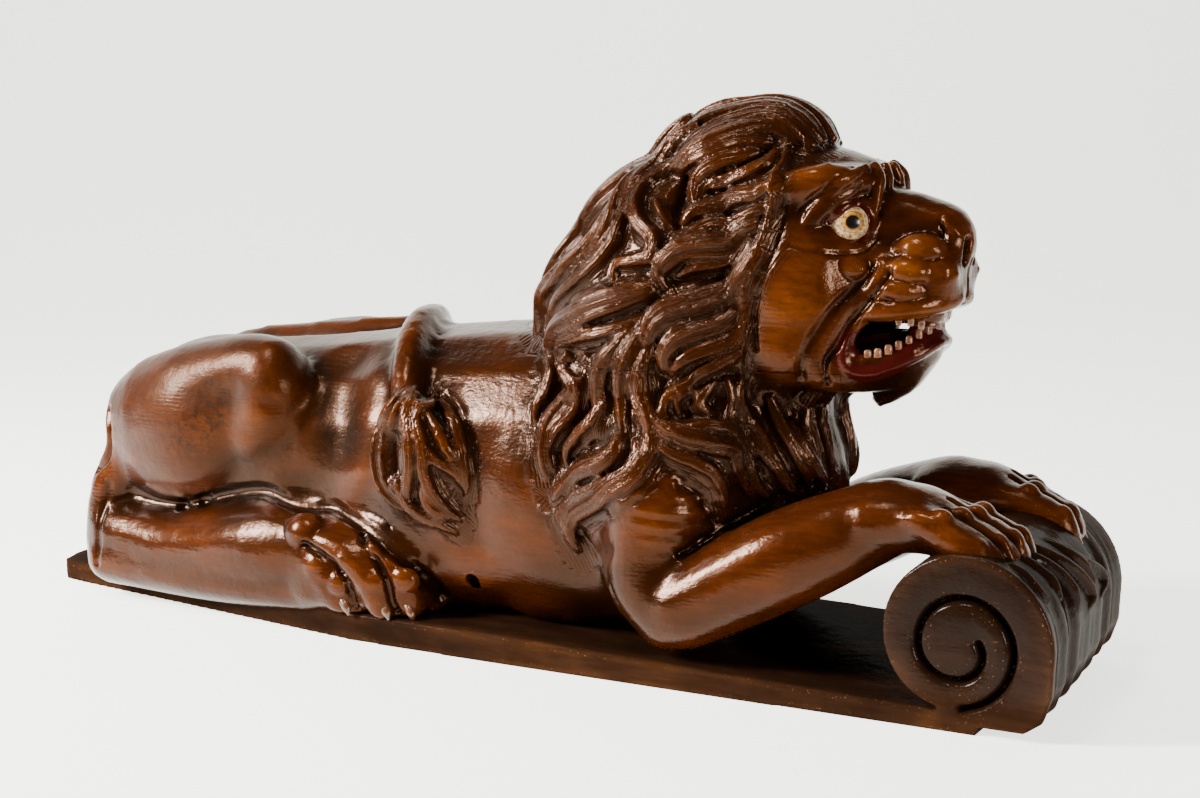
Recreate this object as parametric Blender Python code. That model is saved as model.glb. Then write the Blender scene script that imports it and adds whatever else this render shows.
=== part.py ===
"""Lion of a ship's rudder head, carved in oak: a crouching lion with its paws on a scroll.

Two timber blocks. The body block holds base, scroll, body, legs, tail and lower mane.
The head block is glued on it along a level line through the mane.
X runs from tail to scroll, Y across, Z up, and the origin is on the underside.
"""
import math

import bmesh
import bpy
import numpy as np
from mathutils import Matrix, Vector
from mathutils.bvhtree import BVHTree

# Sizes of the carving, in metres
CARVING_LENGTH = 0.777
BASE_WIDTH = 0.200
BASE_TAIL_WIDTH = 0.114
BASE_THICKNESS = 0.018
BASE_TAIL_THICKNESS = 0.009
SCROLL_REACH = 0.055
SCROLL_BAND = 0.021
SCROLL_WIDTH = 0.197
SCROLL_SKEW = 0.070
SCROLL_GROOVE_WIDTH = 0.0045
SCROLL_GROOVE_DEPTH = 0.006
FLUTE_COUNT = 6
FLUTE_DEPTH = 0.0030
GLUE_LINE_HEIGHT = 0.190
GLUE_LINE_BACK = 0.030
GLUE_GAP = 0.0003
HOLE_DIAMETER = 0.009
HOLE_DEPTH = 0.030

# The carver's measure: the carving is 777 hands long, a hand being one millimetre at this size
HAND = CARVING_LENGTH / 777
TAIL_END = -386 * HAND
FRONT_END = 391 * HAND

# The lion was drawn on a base 18 hands thick, with its paws on a scroll 102 hands high
DRAWN_BASE = 18
DRAWN_SCROLL_TOP = 102

# How finely the timber is worked
ROUGH_CUT = 0.0050
FINE_CUT = 0.0034
FACETS = 7400

SIDES = (-1, 1)
STRAND_CUT = 0.18

# The roll starts at the front, goes over the top and dives into the base after three quarters of a turn.
# Its toe curves back from the front, clear of the ground, as (back from the front, up from the foot).
ROLL_TURNS = 0.75
ROLL_STEPS = 21
GROOVE_STEPS = 40
SCROLL_TUCK = 0.005
SCROLL_FOOT = 0.005
SCROLL_TOE = ((0.016, 0.0), (0.006, 0.007), (0.001, 0.022))
SCROLL_X = FRONT_END - SCROLL_REACH
SCROLL_Z = BASE_THICKNESS - SCROLL_TUCK + SCROLL_REACH - SCROLL_BAND * ROLL_TURNS
SCROLL_TOP = SCROLL_Z + SCROLL_REACH - SCROLL_BAND / 4

# The groove on the roll's ends, cut by eye: turns from the front, and share of the scroll's reach
GROOVE_WAY = ((0.76, 0.70), (1.0, 0.565), (1.2, 0.465), (1.4, 0.43), (1.6, 0.445), (1.8, 0.38), (2.0, 0.21))

# Where the chin hangs below the glue line, and the mouth of the old hole, in the carver's measure
CHIN_BACK, CHIN_LOW = 241, 150
HOLE_MOUTH = (2, -96, 44)

# The lion's feet and belly are cut flat inside the thickness of the base
FIGURE_SEAT = 0.003
BEYOND = 1.0


def at(x, y, z):
    """A point of the lion in the carver's measure, standing on the base."""
    return Vector((x * HAND, y * HAND, BASE_THICKNESS + (z - DRAWN_BASE) * HAND))


def hands(z):
    """A height in metres as the carver's measure that at() gives back as that height."""
    return DRAWN_BASE + (z - BASE_THICKNESS) / HAND


def on_scroll(x, y, z, share=1.0):
    """A point of a paw or forearm, which rises with the scroll's top by the given share."""
    return (x, y, z + share * (hands(SCROLL_TOP) - DRAWN_SCROLL_TOP))


def spline(points, count):
    """Points along a smooth curve through the given ones."""
    knots = np.array([tuple(p) if hasattr(p, "__len__") else (p,) for p in points], float)
    knots = np.vstack([2 * knots[0] - knots[1], knots, 2 * knots[-1] - knots[-2]])
    along = np.linspace(0, len(knots) - 3 - 1e-6, count)
    start = along.astype(int)
    t = (along - start)[:, None]
    a, b, c, d = (knots[start + i] for i in range(4))
    square, cube = 2 * a - 5 * b + 4 * c - d, 3 * b - a - 3 * c + d
    return 0.5 * (2 * b + (c - a) * t + square * t ** 2 + cube * t ** 3)


class Stock:
    """Closed shapes heaped on one another, to be fused into one block of wood."""

    def __init__(self):
        self.bm = bmesh.new()

    def ball(self, centre, radii, yaw=0, pitch=0):
        """An ellipsoid; pitch lifts its front, yaw turns it to the left."""
        turn = Matrix.Rotation(math.radians(yaw), 4, "Z") @ Matrix.Rotation(math.radians(-pitch), 4, "Y")
        size = Matrix.Diagonal((*(Vector(radii) * HAND), 1))
        place = Matrix.Translation(at(*centre)) @ turn @ size
        bmesh.ops.create_uvsphere(self.bm, u_segments=24, v_segments=14, radius=1, matrix=place)

    def sleeve(self, centres, sides, ups, widths, heights, section=None, around=14):
        """Rings joined along a path, pointed or round at both ends as the widths say."""
        rings = []
        for centre, side, up, width, height in zip(centres, sides, ups, widths, heights):
            ring = []
            for i in range(around):
                angle = 2 * math.pi * i / around
                reach = section(angle) if section else 1
                offset = side * (math.cos(angle) * width * reach) + up * (math.sin(angle) * height * reach)
                ring.append(self.bm.verts.new(centre + offset))
            rings.append(ring)
        for first, second in zip(rings, rings[1:]):
            for i in range(around):
                j = (i + 1) % around
                self.bm.faces.new((first[i], first[j], second[j], second[i]))
        self.bm.faces.new(rings[0][::-1])
        self.bm.faces.new(rings[-1])

    def limb(self, points, radii, flat=1.0, steps=6):
        """A round or flattened limb through points, with round ends; flat is its width over its height."""
        count = (len(points) - 1) * steps + 1
        path = [at(*p) for p in spline(points, count)]
        reach = [r[0] * HAND for r in spline(radii, count)]
        ahead = [(path[min(i + 1, count - 1)] - path[max(i - 1, 0)]).normalized() for i in range(count)]
        ends = [math.sin(math.radians(a)) for a in (80, 60, 35)]
        shrink = [math.sqrt(1 - e * e) for e in ends]
        centres = [path[0] - ahead[0] * reach[0] * e for e in ends] + path
        centres += [path[-1] + ahead[-1] * reach[-1] * e for e in reversed(ends)]
        sizes = [reach[0] * s for s in shrink] + reach + [reach[-1] * s for s in reversed(shrink)]
        headings = [ahead[0]] * 3 + ahead + [ahead[-1]] * 3
        sides = [limb_side(heading) for heading in headings]
        ups = [side.cross(heading) for side, heading in zip(sides, headings)]
        self.sleeve(centres, sides, ups, [s * flat for s in sizes], sizes)

    def lock(self, skin, points, width, lift, strands=3, steps=6):
        """A lock of hair laid on the skin: full in its middle, pointed at its tip, grooved into strands."""
        count = (len(points) - 1) * steps + 1
        places = [skin.find_nearest(at(*point)) for point in spline(points, count)]
        path = [place[0] for place in places]
        ahead = [(path[min(i + 1, count - 1)] - path[max(i - 1, 0)]).normalized() for i in range(count)]
        ups = [(place[1] - h * place[1].dot(h)).normalized() for place, h in zip(places, ahead)]
        sides = [h.cross(up) for h, up in zip(ahead, ups)]
        swell = [math.sin(math.pi * (0.10 + 0.87 * i / (count - 1))) ** 0.6 for i in range(count)]
        widths = [width * HAND * max(0.15, s) for s in swell]
        heights = [lift * HAND * max(0.15, s) for s in swell]

        def section(angle):
            return 1 - STRAND_CUT * (1 - abs(math.cos(strands * angle))) * (math.sin(angle) > 0)

        self.sleeve(path, sides, ups, widths, heights, section, around=8 * strands)

    def fuse(self, name, cut, rubbing):
        """One closed skin around the whole heap, rubbed down so that its parts flow together."""
        bmesh.ops.recalc_face_normals(self.bm, faces=self.bm.faces)
        obj = new_object(name, self.bm)
        remesh = obj.modifiers.new("Fuse", "REMESH")
        remesh.mode = "VOXEL"
        remesh.voxel_size = cut
        rub = obj.modifiers.new("Rub down", "SMOOTH")
        rub.factor = 0.5
        rub.iterations = rubbing
        return apply_modifiers(obj)

    def add_mesh(self, mesh):
        self.bm.from_mesh(mesh)


def limb_side(heading):
    """The level direction across a heading, or along Y for an upright one."""
    side = heading.cross(Vector((0, 0, 1)))
    if side.length < 0.2:
        side = heading.cross(Vector((1, 0, 0)))
    return side.normalized()


def new_object(name, bm):
    mesh = bpy.data.meshes.new(name)
    bm.to_mesh(mesh)
    bm.free()
    obj = bpy.data.objects.new(name, mesh)
    bpy.context.collection.objects.link(obj)
    return obj


def apply_modifiers(obj):
    """Bakes an object's modifiers into its mesh."""
    graph = bpy.context.evaluated_depsgraph_get()
    baked = bpy.data.meshes.new_from_object(obj.evaluated_get(graph))
    obj.modifiers.clear()
    old = obj.data
    obj.data = baked
    bpy.data.meshes.remove(old)
    return obj


def skin_of(obj):
    return BVHTree.FromObject(obj, bpy.context.evaluated_depsgraph_get())


def body(stock):
    """Barrel, belly, chest and rump."""
    stock.limb([(-250, 0, 102), (-150, 0, 102), (-40, 0, 112), (60, 0, 115), (120, 0, 112)],
               [78, 86, 90, 95, 90], flat=0.90)
    stock.limb([(-120, 0, 58), (0, 0, 60), (110, 0, 60)], [46, 47, 46], flat=1.72)
    stock.ball((-248, 0, 106), (84, 76, 76))
    stock.ball((133, 0, 118), (96, 68, 86))
    for side in SIDES:
        stock.ball((-20, 30 * side, 96), (110, 55, 84))
        stock.ball((50, 34 * side, 100), (90, 54, 88))


# The forepaws: from toe to toe, and how much lower the left one lies for each hand across
PAW_SPREAD = 13.5
PAW_LEAN = 0.045

# The long toes of a hind paw, outermost first, from the instep to the claw
HIND_TOES = (
    ((-128, 88, 52), (-104, 95, 46), (-86, 95, 24)),
    ((-112, 88, 62), (-84, 94, 58), (-62, 95, 42), (-54, 94, 23)),
    ((-94, 78, 67), (-66, 83, 62), (-44, 86, 46), (-36, 85, 24)),
    ((-86, 66, 66), (-60, 67, 60), (-40, 67, 44), (-34, 66, 24)),
)


def haunch(stock, side):
    """Folded hind leg: slab of a thigh up to its squared knee, hock, and long foot on the base."""
    stock.limb([(-264, 46 * side, 120), (-226, 52 * side, 130), (-186, 56 * side, 148)], [53, 54, 43],
               flat=0.84)
    stock.limb([(-226, 56 * side, 150), (-176, 63 * side, 167), (-160, 65 * side, 165)], [36, 27, 26])
    stock.limb([(-160, 66 * side, 168), (-158, 68 * side, 152), (-176, 66 * side, 126)], [25, 24, 26])
    stock.limb([(-292, 58 * side, 98), (-305, 66 * side, 72), (-307, 68 * side, 36)], [20, 16, 17])
    stock.limb([(-298, 66 * side, 46), (-230, 70 * side, 40), (-160, 72 * side, 50), (-112, 74 * side, 52)],
               [23, 27, 33, 30])
    stock.limb([(-300, 72 * side, 26), (-200, 78 * side, 26), (-112, 80 * side, 28)], [18, 19, 18], flat=1.1)
    stock.limb([(-112, 84 * side, 34), (-78, 86 * side, 28)], [20, 15])
    for toe in HIND_TOES:
        stock.limb([(x, y * side, z) for x, y, z in toe], [13] + [11] * (len(toe) - 2) + [9])


def foreleg(stock, side):
    """Shoulder, upper arm down to the elbow on the base, forearm up to the scroll and the paw over it."""

    def over(x, y, z, share=1.0):
        return on_scroll(x, y * side, z - PAW_LEAN * y * side * share, share)

    stock.ball((126, 58 * side, 116), (58, 36, 72), pitch=-12)
    stock.limb([(136, 66 * side, 108), (132, 74 * side, 66), (148, 80 * side, 42)], [38, 30, 24])
    stock.limb([(156, 80 * side, 46), over(224, 72, 82, 0.5), over(280, 60, 109)], [27, 30, 24])
    stock.limb([over(272, 60, 108), over(302, 61, 109), over(328, 63, 101)], [22, 20, 15], flat=1.4)
    for number in range(4):
        across = 64 + PAW_SPREAD * (number - 1.5)
        stock.limb([over(306, across, 113), over(334, across, 106), over(353, across, 96),
                    over(359, across, 84)], [9, 10.5, 10, 7])


def head(stock):
    """Skull, cheeks, brow, muzzle, lips, jaw and chin."""
    stock.ball((198, 0, 276), (52, 54, 50))
    stock.limb([(220, 0, 308), (240, 0, 305)], [15, 12], flat=1.9)
    stock.limb([(228, 0, 276), (262, 0, 266), (284, 0, 261)], [32, 26, 20])
    stock.limb([(244, 0, 286), (270, 0, 284), (293, 0, 278)], [16, 13, 12], flat=1.4)
    stock.ball((297, 0, 267), (12, 17, 18))
    stock.ball((293, 0, 242), (12, 14, 12))
    stock.limb([(212, 0, 198), (250, 0, 193), (276, 0, 203)], [16, 12, 10], flat=1.7)
    stock.ball((279, 0, 202), (11, 14, 10))
    stock.limb([(270, 0, 191), (260, 0, 181), (251, 0, 171)], [12, 11, 7], flat=1.3)
    for side in SIDES:
        stock.ball((206, 37 * side, 240), (38, 24, 50))
        stock.ball((202, 36 * side, 208), (34, 23, 30))
        stock.ball((229, 30 * side, 260), (24, 15, 13))
        stock.limb([(204, 46 * side, 298), (226, 41 * side, 304), (239, 34 * side, 305),
                    (244, 23 * side, 307)], [10, 11, 9, 7])
        stock.limb([(246, 22 * side, 307), (251, 20 * side, 297), (250, 22 * side, 286)], [7, 6, 4])
        stock.ball((240, 32 * side, 280), (12, 11, 12))
        stock.ball((282, 18 * side, 250), (24, 14, 16))
        stock.ball((262, 26 * side, 244), (22, 14, 15))
        stock.limb([(252, 34 * side, 231), (266, 31 * side, 232), (280, 25 * side, 233),
                    (292, 17 * side, 234), (297, 8 * side, 236)], [8, 9, 9, 9, 9])
        stock.limb([(252, 34 * side, 226), (242, 37 * side, 212), (242, 36 * side, 200)], [6, 7, 7])
        stock.limb([(243, 34 * side, 196), (258, 30 * side, 195), (271, 24 * side, 200),
                    (281, 15 * side, 207), (284, 6 * side, 210)], [7, 7, 7, 7, 6])
        stock.limb([(224, 34 * side, 192), (243, 28 * side, 188), (260, 17 * side, 190),
                    (276, 6 * side, 198)], [15, 12, 12, 10])


def teeth(stock):
    """The closed front teeth, with the canines that stand at their corners."""
    for side in SIDES:
        stock.limb([(284, 15 * side, 234), (286, 14 * side, 214)], [5, 4])
        stock.limb([(288, 9 * side, 234), (290, 8 * side, 211)], [5, 5])


def mane_mass(stock):
    """The bulk of the mane under its locks, from the crown to the throat."""
    stock.ball((118, 0, 205), (98, 75, 80))
    stock.ball((131, 0, 246), (80, 65, 68))
    stock.ball((153, 0, 304), (50, 40, 42))
    stock.ball((172, 0, 316), (44, 32, 30))
    stock.limb([(184, 0, 215), (196, 0, 160), (204, 0, 118)], [39, 24, 22], flat=1.5)
    for side in SIDES:
        stock.ball((118, 42 * side, 184), (68, 38, 86))


def tail(stock):
    """Tail along the far side of the back, over it, and down the near flank to its tuft."""
    stock.limb([(-318, 12, 116), (-302, 26, 148), (-262, 38, 173), (-200, 42, 183), (-150, 42, 189),
                (-116, 44, 192), (-92, 34, 198), (-78, 12, 203), (-71, -14, 203), (-63, -39, 194),
                (-54, -58, 180), (-47, -72, 163), (-42, -83, 146)],
               [10, 9, 8, 7.5, 7, 7, 7, 7, 7, 7.5, 7.5, 7, 5])


# Locks of the mane in side view: half width and lift, then the way from root to tip as (x, z)
MANE_LOCKS = (
    (7, 8, (198, 326), (175, 318), (162, 311), (157, 299), (157, 288)),
    (7, 6, (201, 313), (189, 308), (173, 301), (160, 293)),
    (9, 8, (206, 300), (182, 289), (164, 285), (150, 276)),
    (10, 9, (199, 287), (183, 274), (159, 270), (140, 259), (137, 243)),
    (9, 8, (197, 270), (177, 251), (159, 248), (146, 240), (138, 233)),
    (11, 9, (190, 255), (178, 237), (162, 231), (140, 221), (134, 205)),
    (9, 8, (188, 233), (181, 219), (170, 207), (149, 199), (139, 186)),
    (6, 6, (199, 265), (190, 248), (185, 223), (182, 197), (187, 171)),
    (9, 8, (157, 336), (141, 322), (130, 308), (121, 290), (120, 273), (131, 266)),
    (10, 10, (124, 322), (105, 303), (97, 283), (86, 264), (63, 246), (44, 232), (34, 216)),
    (8, 8, (122, 290), (110, 271), (105, 250), (82, 232), (65, 211), (54, 190), (58, 168)),
    (5, 6, (136, 300), (136, 290), (147, 278)),
    (7, 7, (131, 268), (115, 255), (106, 240)),
    (12, 10, (137, 247), (135, 236), (113, 226), (89, 221), (72, 211), (70, 190)),
    (10, 8, (132, 222), (118, 211), (105, 194), (99, 172)),
    (7, 8, (135, 232), (132, 209), (138, 183), (141, 164)),
    (8, 8, (62, 205), (57, 184), (49, 166), (50, 150)),
    (9, 8, (79, 186), (73, 168), (61, 152), (55, 135), (60, 119), (67, 106)),
    (9, 8, (103, 188), (102, 165), (88, 147), (78, 134), (84, 124)),
    (10, 9, (119, 188), (119, 160), (113, 141), (101, 128), (79, 119), (67, 106)),
    (10, 8, (129, 189), (133, 154), (131, 135), (121, 120), (90, 110), (74, 100), (78, 85), (88, 73)),
    (7, 7, (142, 189), (144, 176), (150, 164), (158, 161)),
    (6, 7, (163, 181), (157, 172), (162, 163), (177, 153)),
    (8, 8, (177, 187), (179, 165), (186, 149), (193, 54, 132), (198, 50, 116)),
    (9, 7, (187, 211), (188, 186), (192, 164), (203, 48, 142), (208, 42, 126)),
    (8, 7, (200, 180), (204, 40, 160), (214, 34, 140), (222, 28, 118)),
    (8, 7, (222, 20, 174), (230, 16, 152), (234, 14, 128)),
    (9, 7, (144, 157), (159, 149), (178, 145), (186, 58, 132), (192, 56, 112)),
    (8, 6, (147, 148), (162, 137), (170, 123), (175, 106)),
)
CREST_LOCKS = 5
NAPE_LOCKS = 4

# Lines gouged on both sides: half width and depth, then the way as (x, z) or (x, y, z)
CREASES = (
    (5, 3.5, (262, 262), (252, 246), (238, 228), (224, 214), (214, 202), (212, 192)),
    (5, 3.5, (277, 266), (262, 248), (252, 236), (238, 224), (228, 212), (225, 200)),
    (4, 2.0, (274, 262), (286, 258), (296, 254)),
    (4, 2.0, (262, 250), (280, 248), (298, 244)),
    (5, 2.5, (206, 296), (220, 297), (232, 300), (240, 300)),
    (5, 3.0, (206, 274), (220, 269), (240, 268), (252, 274)),
    (5, 4.0, (296, 283), (301, 274), (300, 262), (297, 252)),
    (6, 4.0, (204, 310), (206, 292), (202, 268), (194, 244), (190, 222), (192, 204)),
    (6, 8.0, (-124, 156), (-134, 143), (-148, 131), (-157, 118), (-168, 101), (-186, 88), (-214, 76),
     (-244, 66)),
    (6, 7.0, (-238, 68), (-208, 75), (-168, 87), (-142, 87), (-108, 87), (-88, 82), (-70, 76), (-48, 66),
     (-30, 52)),
    (9, 9.0, (-140, 192), (-128, 178), (-124, 160), (-128, 138), (-142, 116), (-156, 98)),
    (4, 3.5, (-296, 80), (-299, 56), (-299, 26)),
    (4, 3.5, (-108, 100, 60), (-88, 103, 50), (-76, 104, 38), (-72, 100, 22)),
    (4, 3.5, (-92, 94, 74), (-72, 98, 66), (-54, 98, 52), (-46, 96, 26)),
    (4, 3.5, (-80, 76, 78), (-62, 78, 72), (-44, 80, 56), (-36, 80, 28)),
    (3, 3.0, (322, 50, 128), (338, 50, 122), (356, 50, 110), (367, 50, 92)),
    (3, 3.0, (322, 64, 128), (338, 64, 122), (356, 64, 110), (367, 64, 92)),
    (3, 3.0, (322, 78, 126), (338, 78, 119), (354, 78, 108), (366, 78, 90)),
    (7, 6.0, (-300, 132), (-296, 118), (-300, 100), (-310, 90)),
    (5, 3.0, (84, 92), (98, 74), (114, 56), (124, 36)),
    (6, 5.0, (218, 124), (196, 108), (176, 94), (158, 80)),
)

# Locks of the tail's tuft on the near flank: half width and lift, then (x, z) from root to tip
TUFT_LOCKS = (
    (9, 12, (-42, 160), (-50, 138), (-57, 120), (-50, 102), (-42, 92)),
    (9, 13, (-40, 160), (-36, 136), (-30, 118), (-20, 100), (-6, 84), (2, 74)),
    (9, 12, (-38, 158), (-22, 140), (-8, 126), (2, 112), (-2, 96)),
    (6, 10, (-40, 152), (-26, 132), (-16, 116), (-12, 98), (-14, 88)),
)


def on_skin(skin, point, side):
    """The point of the skin seen at (x, z) from the side, or nearest (x, y, z), in the carver's measure."""
    if len(point) == 2:
        place = skin.ray_cast(at(point[0], 200 * side, point[1]), Vector((0, -side, 0)))[0]
        point = (point[0], 60, point[1])
    else:
        place = None
    if place is None:
        place = skin.find_nearest(at(point[0], point[1] * side, point[2]))[0]
    return (place.x / HAND, place.y / HAND, hands(place.z))


def lay_locks(stock, skin, table, side, strands=3):
    for width, lift, *way in table:
        stock.lock(skin, [on_skin(skin, point, side) for point in way], width, lift, strands)


def score(obj, skin, table, side):
    """Gouges lines into the surface: half width, depth, then the way over the skin."""
    mesh = obj.data
    count = len(mesh.vertices)
    places, normals = np.empty(count * 3), np.empty(count * 3)
    mesh.vertices.foreach_get("co", places)
    mesh.vertices.foreach_get("normal", normals)
    places, normals = places.reshape(-1, 3), normals.reshape(-1, 3)
    sink = np.zeros(count)
    for width, depth, *way in table:
        width, depth = width * HAND, depth * HAND
        knots = [at(*on_skin(skin, point, side)) for point in way]
        path = spline(knots, 7 * len(knots))
        near = np.all((places > path.min(0) - width) & (places < path.max(0) + width), axis=1)
        here = places[near]
        gap = np.full(len(here), np.inf)
        for start, end in zip(path, path[1:]):
            run = end - start
            share = np.clip((here - start) @ run / (run @ run), 0, 1)[:, None]
            gap = np.minimum(gap, np.linalg.norm(here - start - share * run, axis=1))
        sink[near] += depth * np.clip(1 - (gap / width) ** 2, 0, 1) ** 2
    mesh.vertices.foreach_set("co", (places - normals * sink[:, None]).ravel())
    mesh.update()


def mane(stock, skin):
    """Locks over the sides of the mane, the forelock combed back over the crown and locks down the nape."""
    for side in SIDES:
        lay_locks(stock, skin, MANE_LOCKS, side)
    for number in range(CREST_LOCKS):
        across = 15 * (number - (CREST_LOCKS - 1) / 2)
        stock.lock(skin, [(213, across * 0.7, 318), (206, across * 0.9, 334), (188, across, 346),
                          (164, across * 1.2, 344), (132, across * 1.4, 326)], 9, 9)
    for number in range(NAPE_LOCKS):
        across = 20 * (number - (NAPE_LOCKS - 1) / 2)
        stock.lock(skin, [(136, across, 326), (104, across * 1.1, 302), (76, across * 0.9, 272),
                          (50, across * 1.1, 246), (27, across * 1.2, 214)], 12, 11)


def carve_figure():
    """The lion alone: its masses fused and rubbed down, then the hair laid on and fused in."""
    rough = Stock()
    body(rough)
    mane_mass(rough)
    head(rough)
    teeth(rough)
    for side in SIDES:
        haunch(rough, side)
        foreleg(rough, side)
    tail(rough)
    lion = rough.fuse("lion", ROUGH_CUT, 4)
    skin = skin_of(lion)
    fine = Stock()
    fine.add_mesh(lion.data)
    bpy.data.objects.remove(lion)
    mane(fine, skin)
    lay_locks(fine, skin, TUFT_LOCKS, -1)
    lion = fine.fuse("lion", FINE_CUT, 1)
    for side in SIDES:
        score(lion, skin, CREASES, side)
    keep_largest_shell(lion)
    reduce_facets(lion, FACETS)
    return lion


def keep_largest_shell(obj):
    """Drops the small closed hollows that fusing can leave inside the block."""
    bm = bmesh.new()
    bm.from_mesh(obj.data)
    left = set(bm.verts)
    shells = []
    while left:
        shell = {left.pop()}
        edge = set(shell)
        while edge:
            edge = {e.other_vert(v) for v in edge for e in v.link_edges} - shell
            shell |= edge
        left -= shell
        shells.append(shell)
    largest = max(shells, key=len)
    bmesh.ops.delete(bm, geom=[v for shell in shells if shell is not largest for v in shell], context="VERTS")
    bm.to_mesh(obj.data)
    bm.free()


def reduce_facets(obj, facets):
    triangles = sum(len(p.vertices) - 2 for p in obj.data.polygons)
    reduce = obj.modifiers.new("Facets", "DECIMATE")
    reduce.ratio = min(1.0, facets / triangles)
    reduce.use_collapse_triangulate = True
    apply_modifiers(obj)


def extruded(name, outline, y_low, y_high):
    """A closed solid of an (x, z) outline drawn anticlockwise seen from the near side."""
    bm = bmesh.new()
    near = [bm.verts.new((x, y_low, z)) for x, z in outline]
    far = [bm.verts.new((x, y_high, z)) for x, z in outline]
    bm.faces.new(near)
    bm.faces.new(far[::-1])
    for i in range(len(outline)):
        j = (i + 1) % len(outline)
        bm.faces.new((near[i], far[i], far[j], near[j]))
    bmesh.ops.recalc_face_normals(bm, faces=bm.faces)
    return new_object(name, bm)


def cut(obj, cutter, operation="DIFFERENCE"):
    """Cuts, joins or trims an object with another, which is used up."""
    boolean = obj.modifiers.new("Cut", "BOOLEAN")
    boolean.operation = operation
    boolean.solver = "EXACT"
    boolean.object = cutter
    apply_modifiers(obj)
    bpy.data.objects.remove(cutter)
    return obj


def box(name, low, high):
    bm = bmesh.new()
    low, high = Vector(low), Vector(high)
    place = Matrix.Translation((low + high) / 2) @ Matrix.Diagonal((*(high - low), 1))
    bmesh.ops.create_cube(bm, size=1, matrix=place)
    return new_object(name, bm)


def base():
    """The long board under the lion: straight edges, tapered to a rounded tail end, thinner there."""
    half, tail_half = BASE_WIDTH / 2, BASE_TAIL_WIDTH / 2
    length = FRONT_END - TAIL_END
    stations = ((0.0, 0.12 * tail_half, 0.1), (0.006, 0.40 * tail_half, 0.2), (0.017, 0.74 * tail_half, 0.3),
                (0.032, 0.94 * tail_half, 0.35), (0.052, tail_half, 0.4), (0.40, 0.97 * half, 1.0),
                (0.55, half, 1.0), (0.944, 0.98 * half, 0.2))
    bm = bmesh.new()
    sections = []
    for share, width, thick in stations:
        x = TAIL_END + share * length
        top = BASE_TAIL_THICKNESS + thick * (BASE_THICKNESS - BASE_TAIL_THICKNESS)
        corners = ((-width, 0), (width, 0), (width, top), (-width, top))
        sections.append([bm.verts.new((x, y, z)) for y, z in corners])
    for first, second in zip(sections, sections[1:]):
        for i in range(4):
            j = (i + 1) % 4
            bm.faces.new((first[i], first[j], second[j], second[i]))
    bm.faces.new(sections[0])
    bm.faces.new(sections[-1])
    bmesh.ops.recalc_face_normals(bm, faces=bm.faces)
    return new_object("base", bm)


def spiral_point(turns, offset=0.0):
    """A point (x, z) of the scroll's spiral after so many turns, from its front over the top."""
    angle = 2 * math.pi * turns
    reach = SCROLL_REACH - SCROLL_BAND * turns + offset
    return (SCROLL_X + reach * math.cos(angle), SCROLL_Z + reach * math.sin(angle))


def groove_point(turns, reach, offset):
    """A point (x, z) of one wall of the groove, half a width off its middle."""
    angle = 2 * math.pi * turns
    reach = SCROLL_REACH * reach + offset
    return (SCROLL_X + reach * math.cos(angle), SCROLL_Z + reach * math.sin(angle))


def scroll_drift(y):
    """How far the roll lies back at Y, as it runs a little askew of the base."""
    return SCROLL_SKEW * (y + SCROLL_WIDTH / 2)


def flute_depth(station, stations):
    """The depth of the flutes at a station across the roll, which keeps its full size at both faces."""
    if station in (0, stations):
        return 0.0
    return FLUTE_DEPTH * math.sin(math.pi / 4 * (station - 1)) ** 2


def scroll():
    """Rolled end of the base: a band that winds in on both faces, with flutes down its front."""
    stations = 4 * FLUTE_COUNT + 2
    bm = bmesh.new()
    rings = []
    for station in range(stations + 1):
        y = SCROLL_WIDTH * (station / stations - 0.5)
        depth = flute_depth(station, stations)
        outline = []
        for step in range(ROLL_STEPS + 1):
            turns = ROLL_TURNS * step / ROLL_STEPS
            outline.append(spiral_point(turns, -depth * max(0.0, math.cos(2 * math.pi * turns))))
        outline.append((SCROLL_X, SCROLL_FOOT))
        outline += [(FRONT_END - back - depth, SCROLL_FOOT + up) for back, up in SCROLL_TOE]
        rings.append([bm.verts.new((x - scroll_drift(y), y, z)) for x, z in outline])
    for first, second in zip(rings, rings[1:]):
        for i in range(len(first)):
            j = (i + 1) % len(first)
            bm.faces.new((first[i], first[j], second[j], second[i]))
    bm.faces.new(rings[0])
    bm.faces.new(rings[-1])
    bmesh.ops.recalc_face_normals(bm, faces=bm.faces)
    roll = new_object("scroll", bm)
    half = SCROLL_GROOVE_WIDTH / 2
    way = spline(GROOVE_WAY, GROOVE_STEPS)
    ribbon = [groove_point(*place, half) for place in way]
    ribbon += [groove_point(*place, -half) for place in way[::-1]]
    for side in SIDES:
        face = side * SCROLL_WIDTH / 2
        ends = sorted((face - side * SCROLL_GROOVE_DEPTH, face + side * SCROLL_GROOVE_WIDTH))
        cut(roll, extruded("groove", [(x - scroll_drift(face), z) for x, z in ribbon], *ends))
    return roll


def fixing_hole():
    """An old bolt hole low in the near flank."""
    bm = bmesh.new()
    middle = at(*HOLE_MOUTH) + Vector((0, HOLE_DEPTH / 2, 0))
    place = Matrix.Translation(middle) @ Matrix.Rotation(math.pi / 2, 4, "X")
    radius = HOLE_DIAMETER / 2
    bmesh.ops.create_cone(bm, cap_ends=True, segments=16, radius1=radius, radius2=radius,
                          depth=HOLE_DEPTH, matrix=place)
    return new_object("hole", bm)


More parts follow.
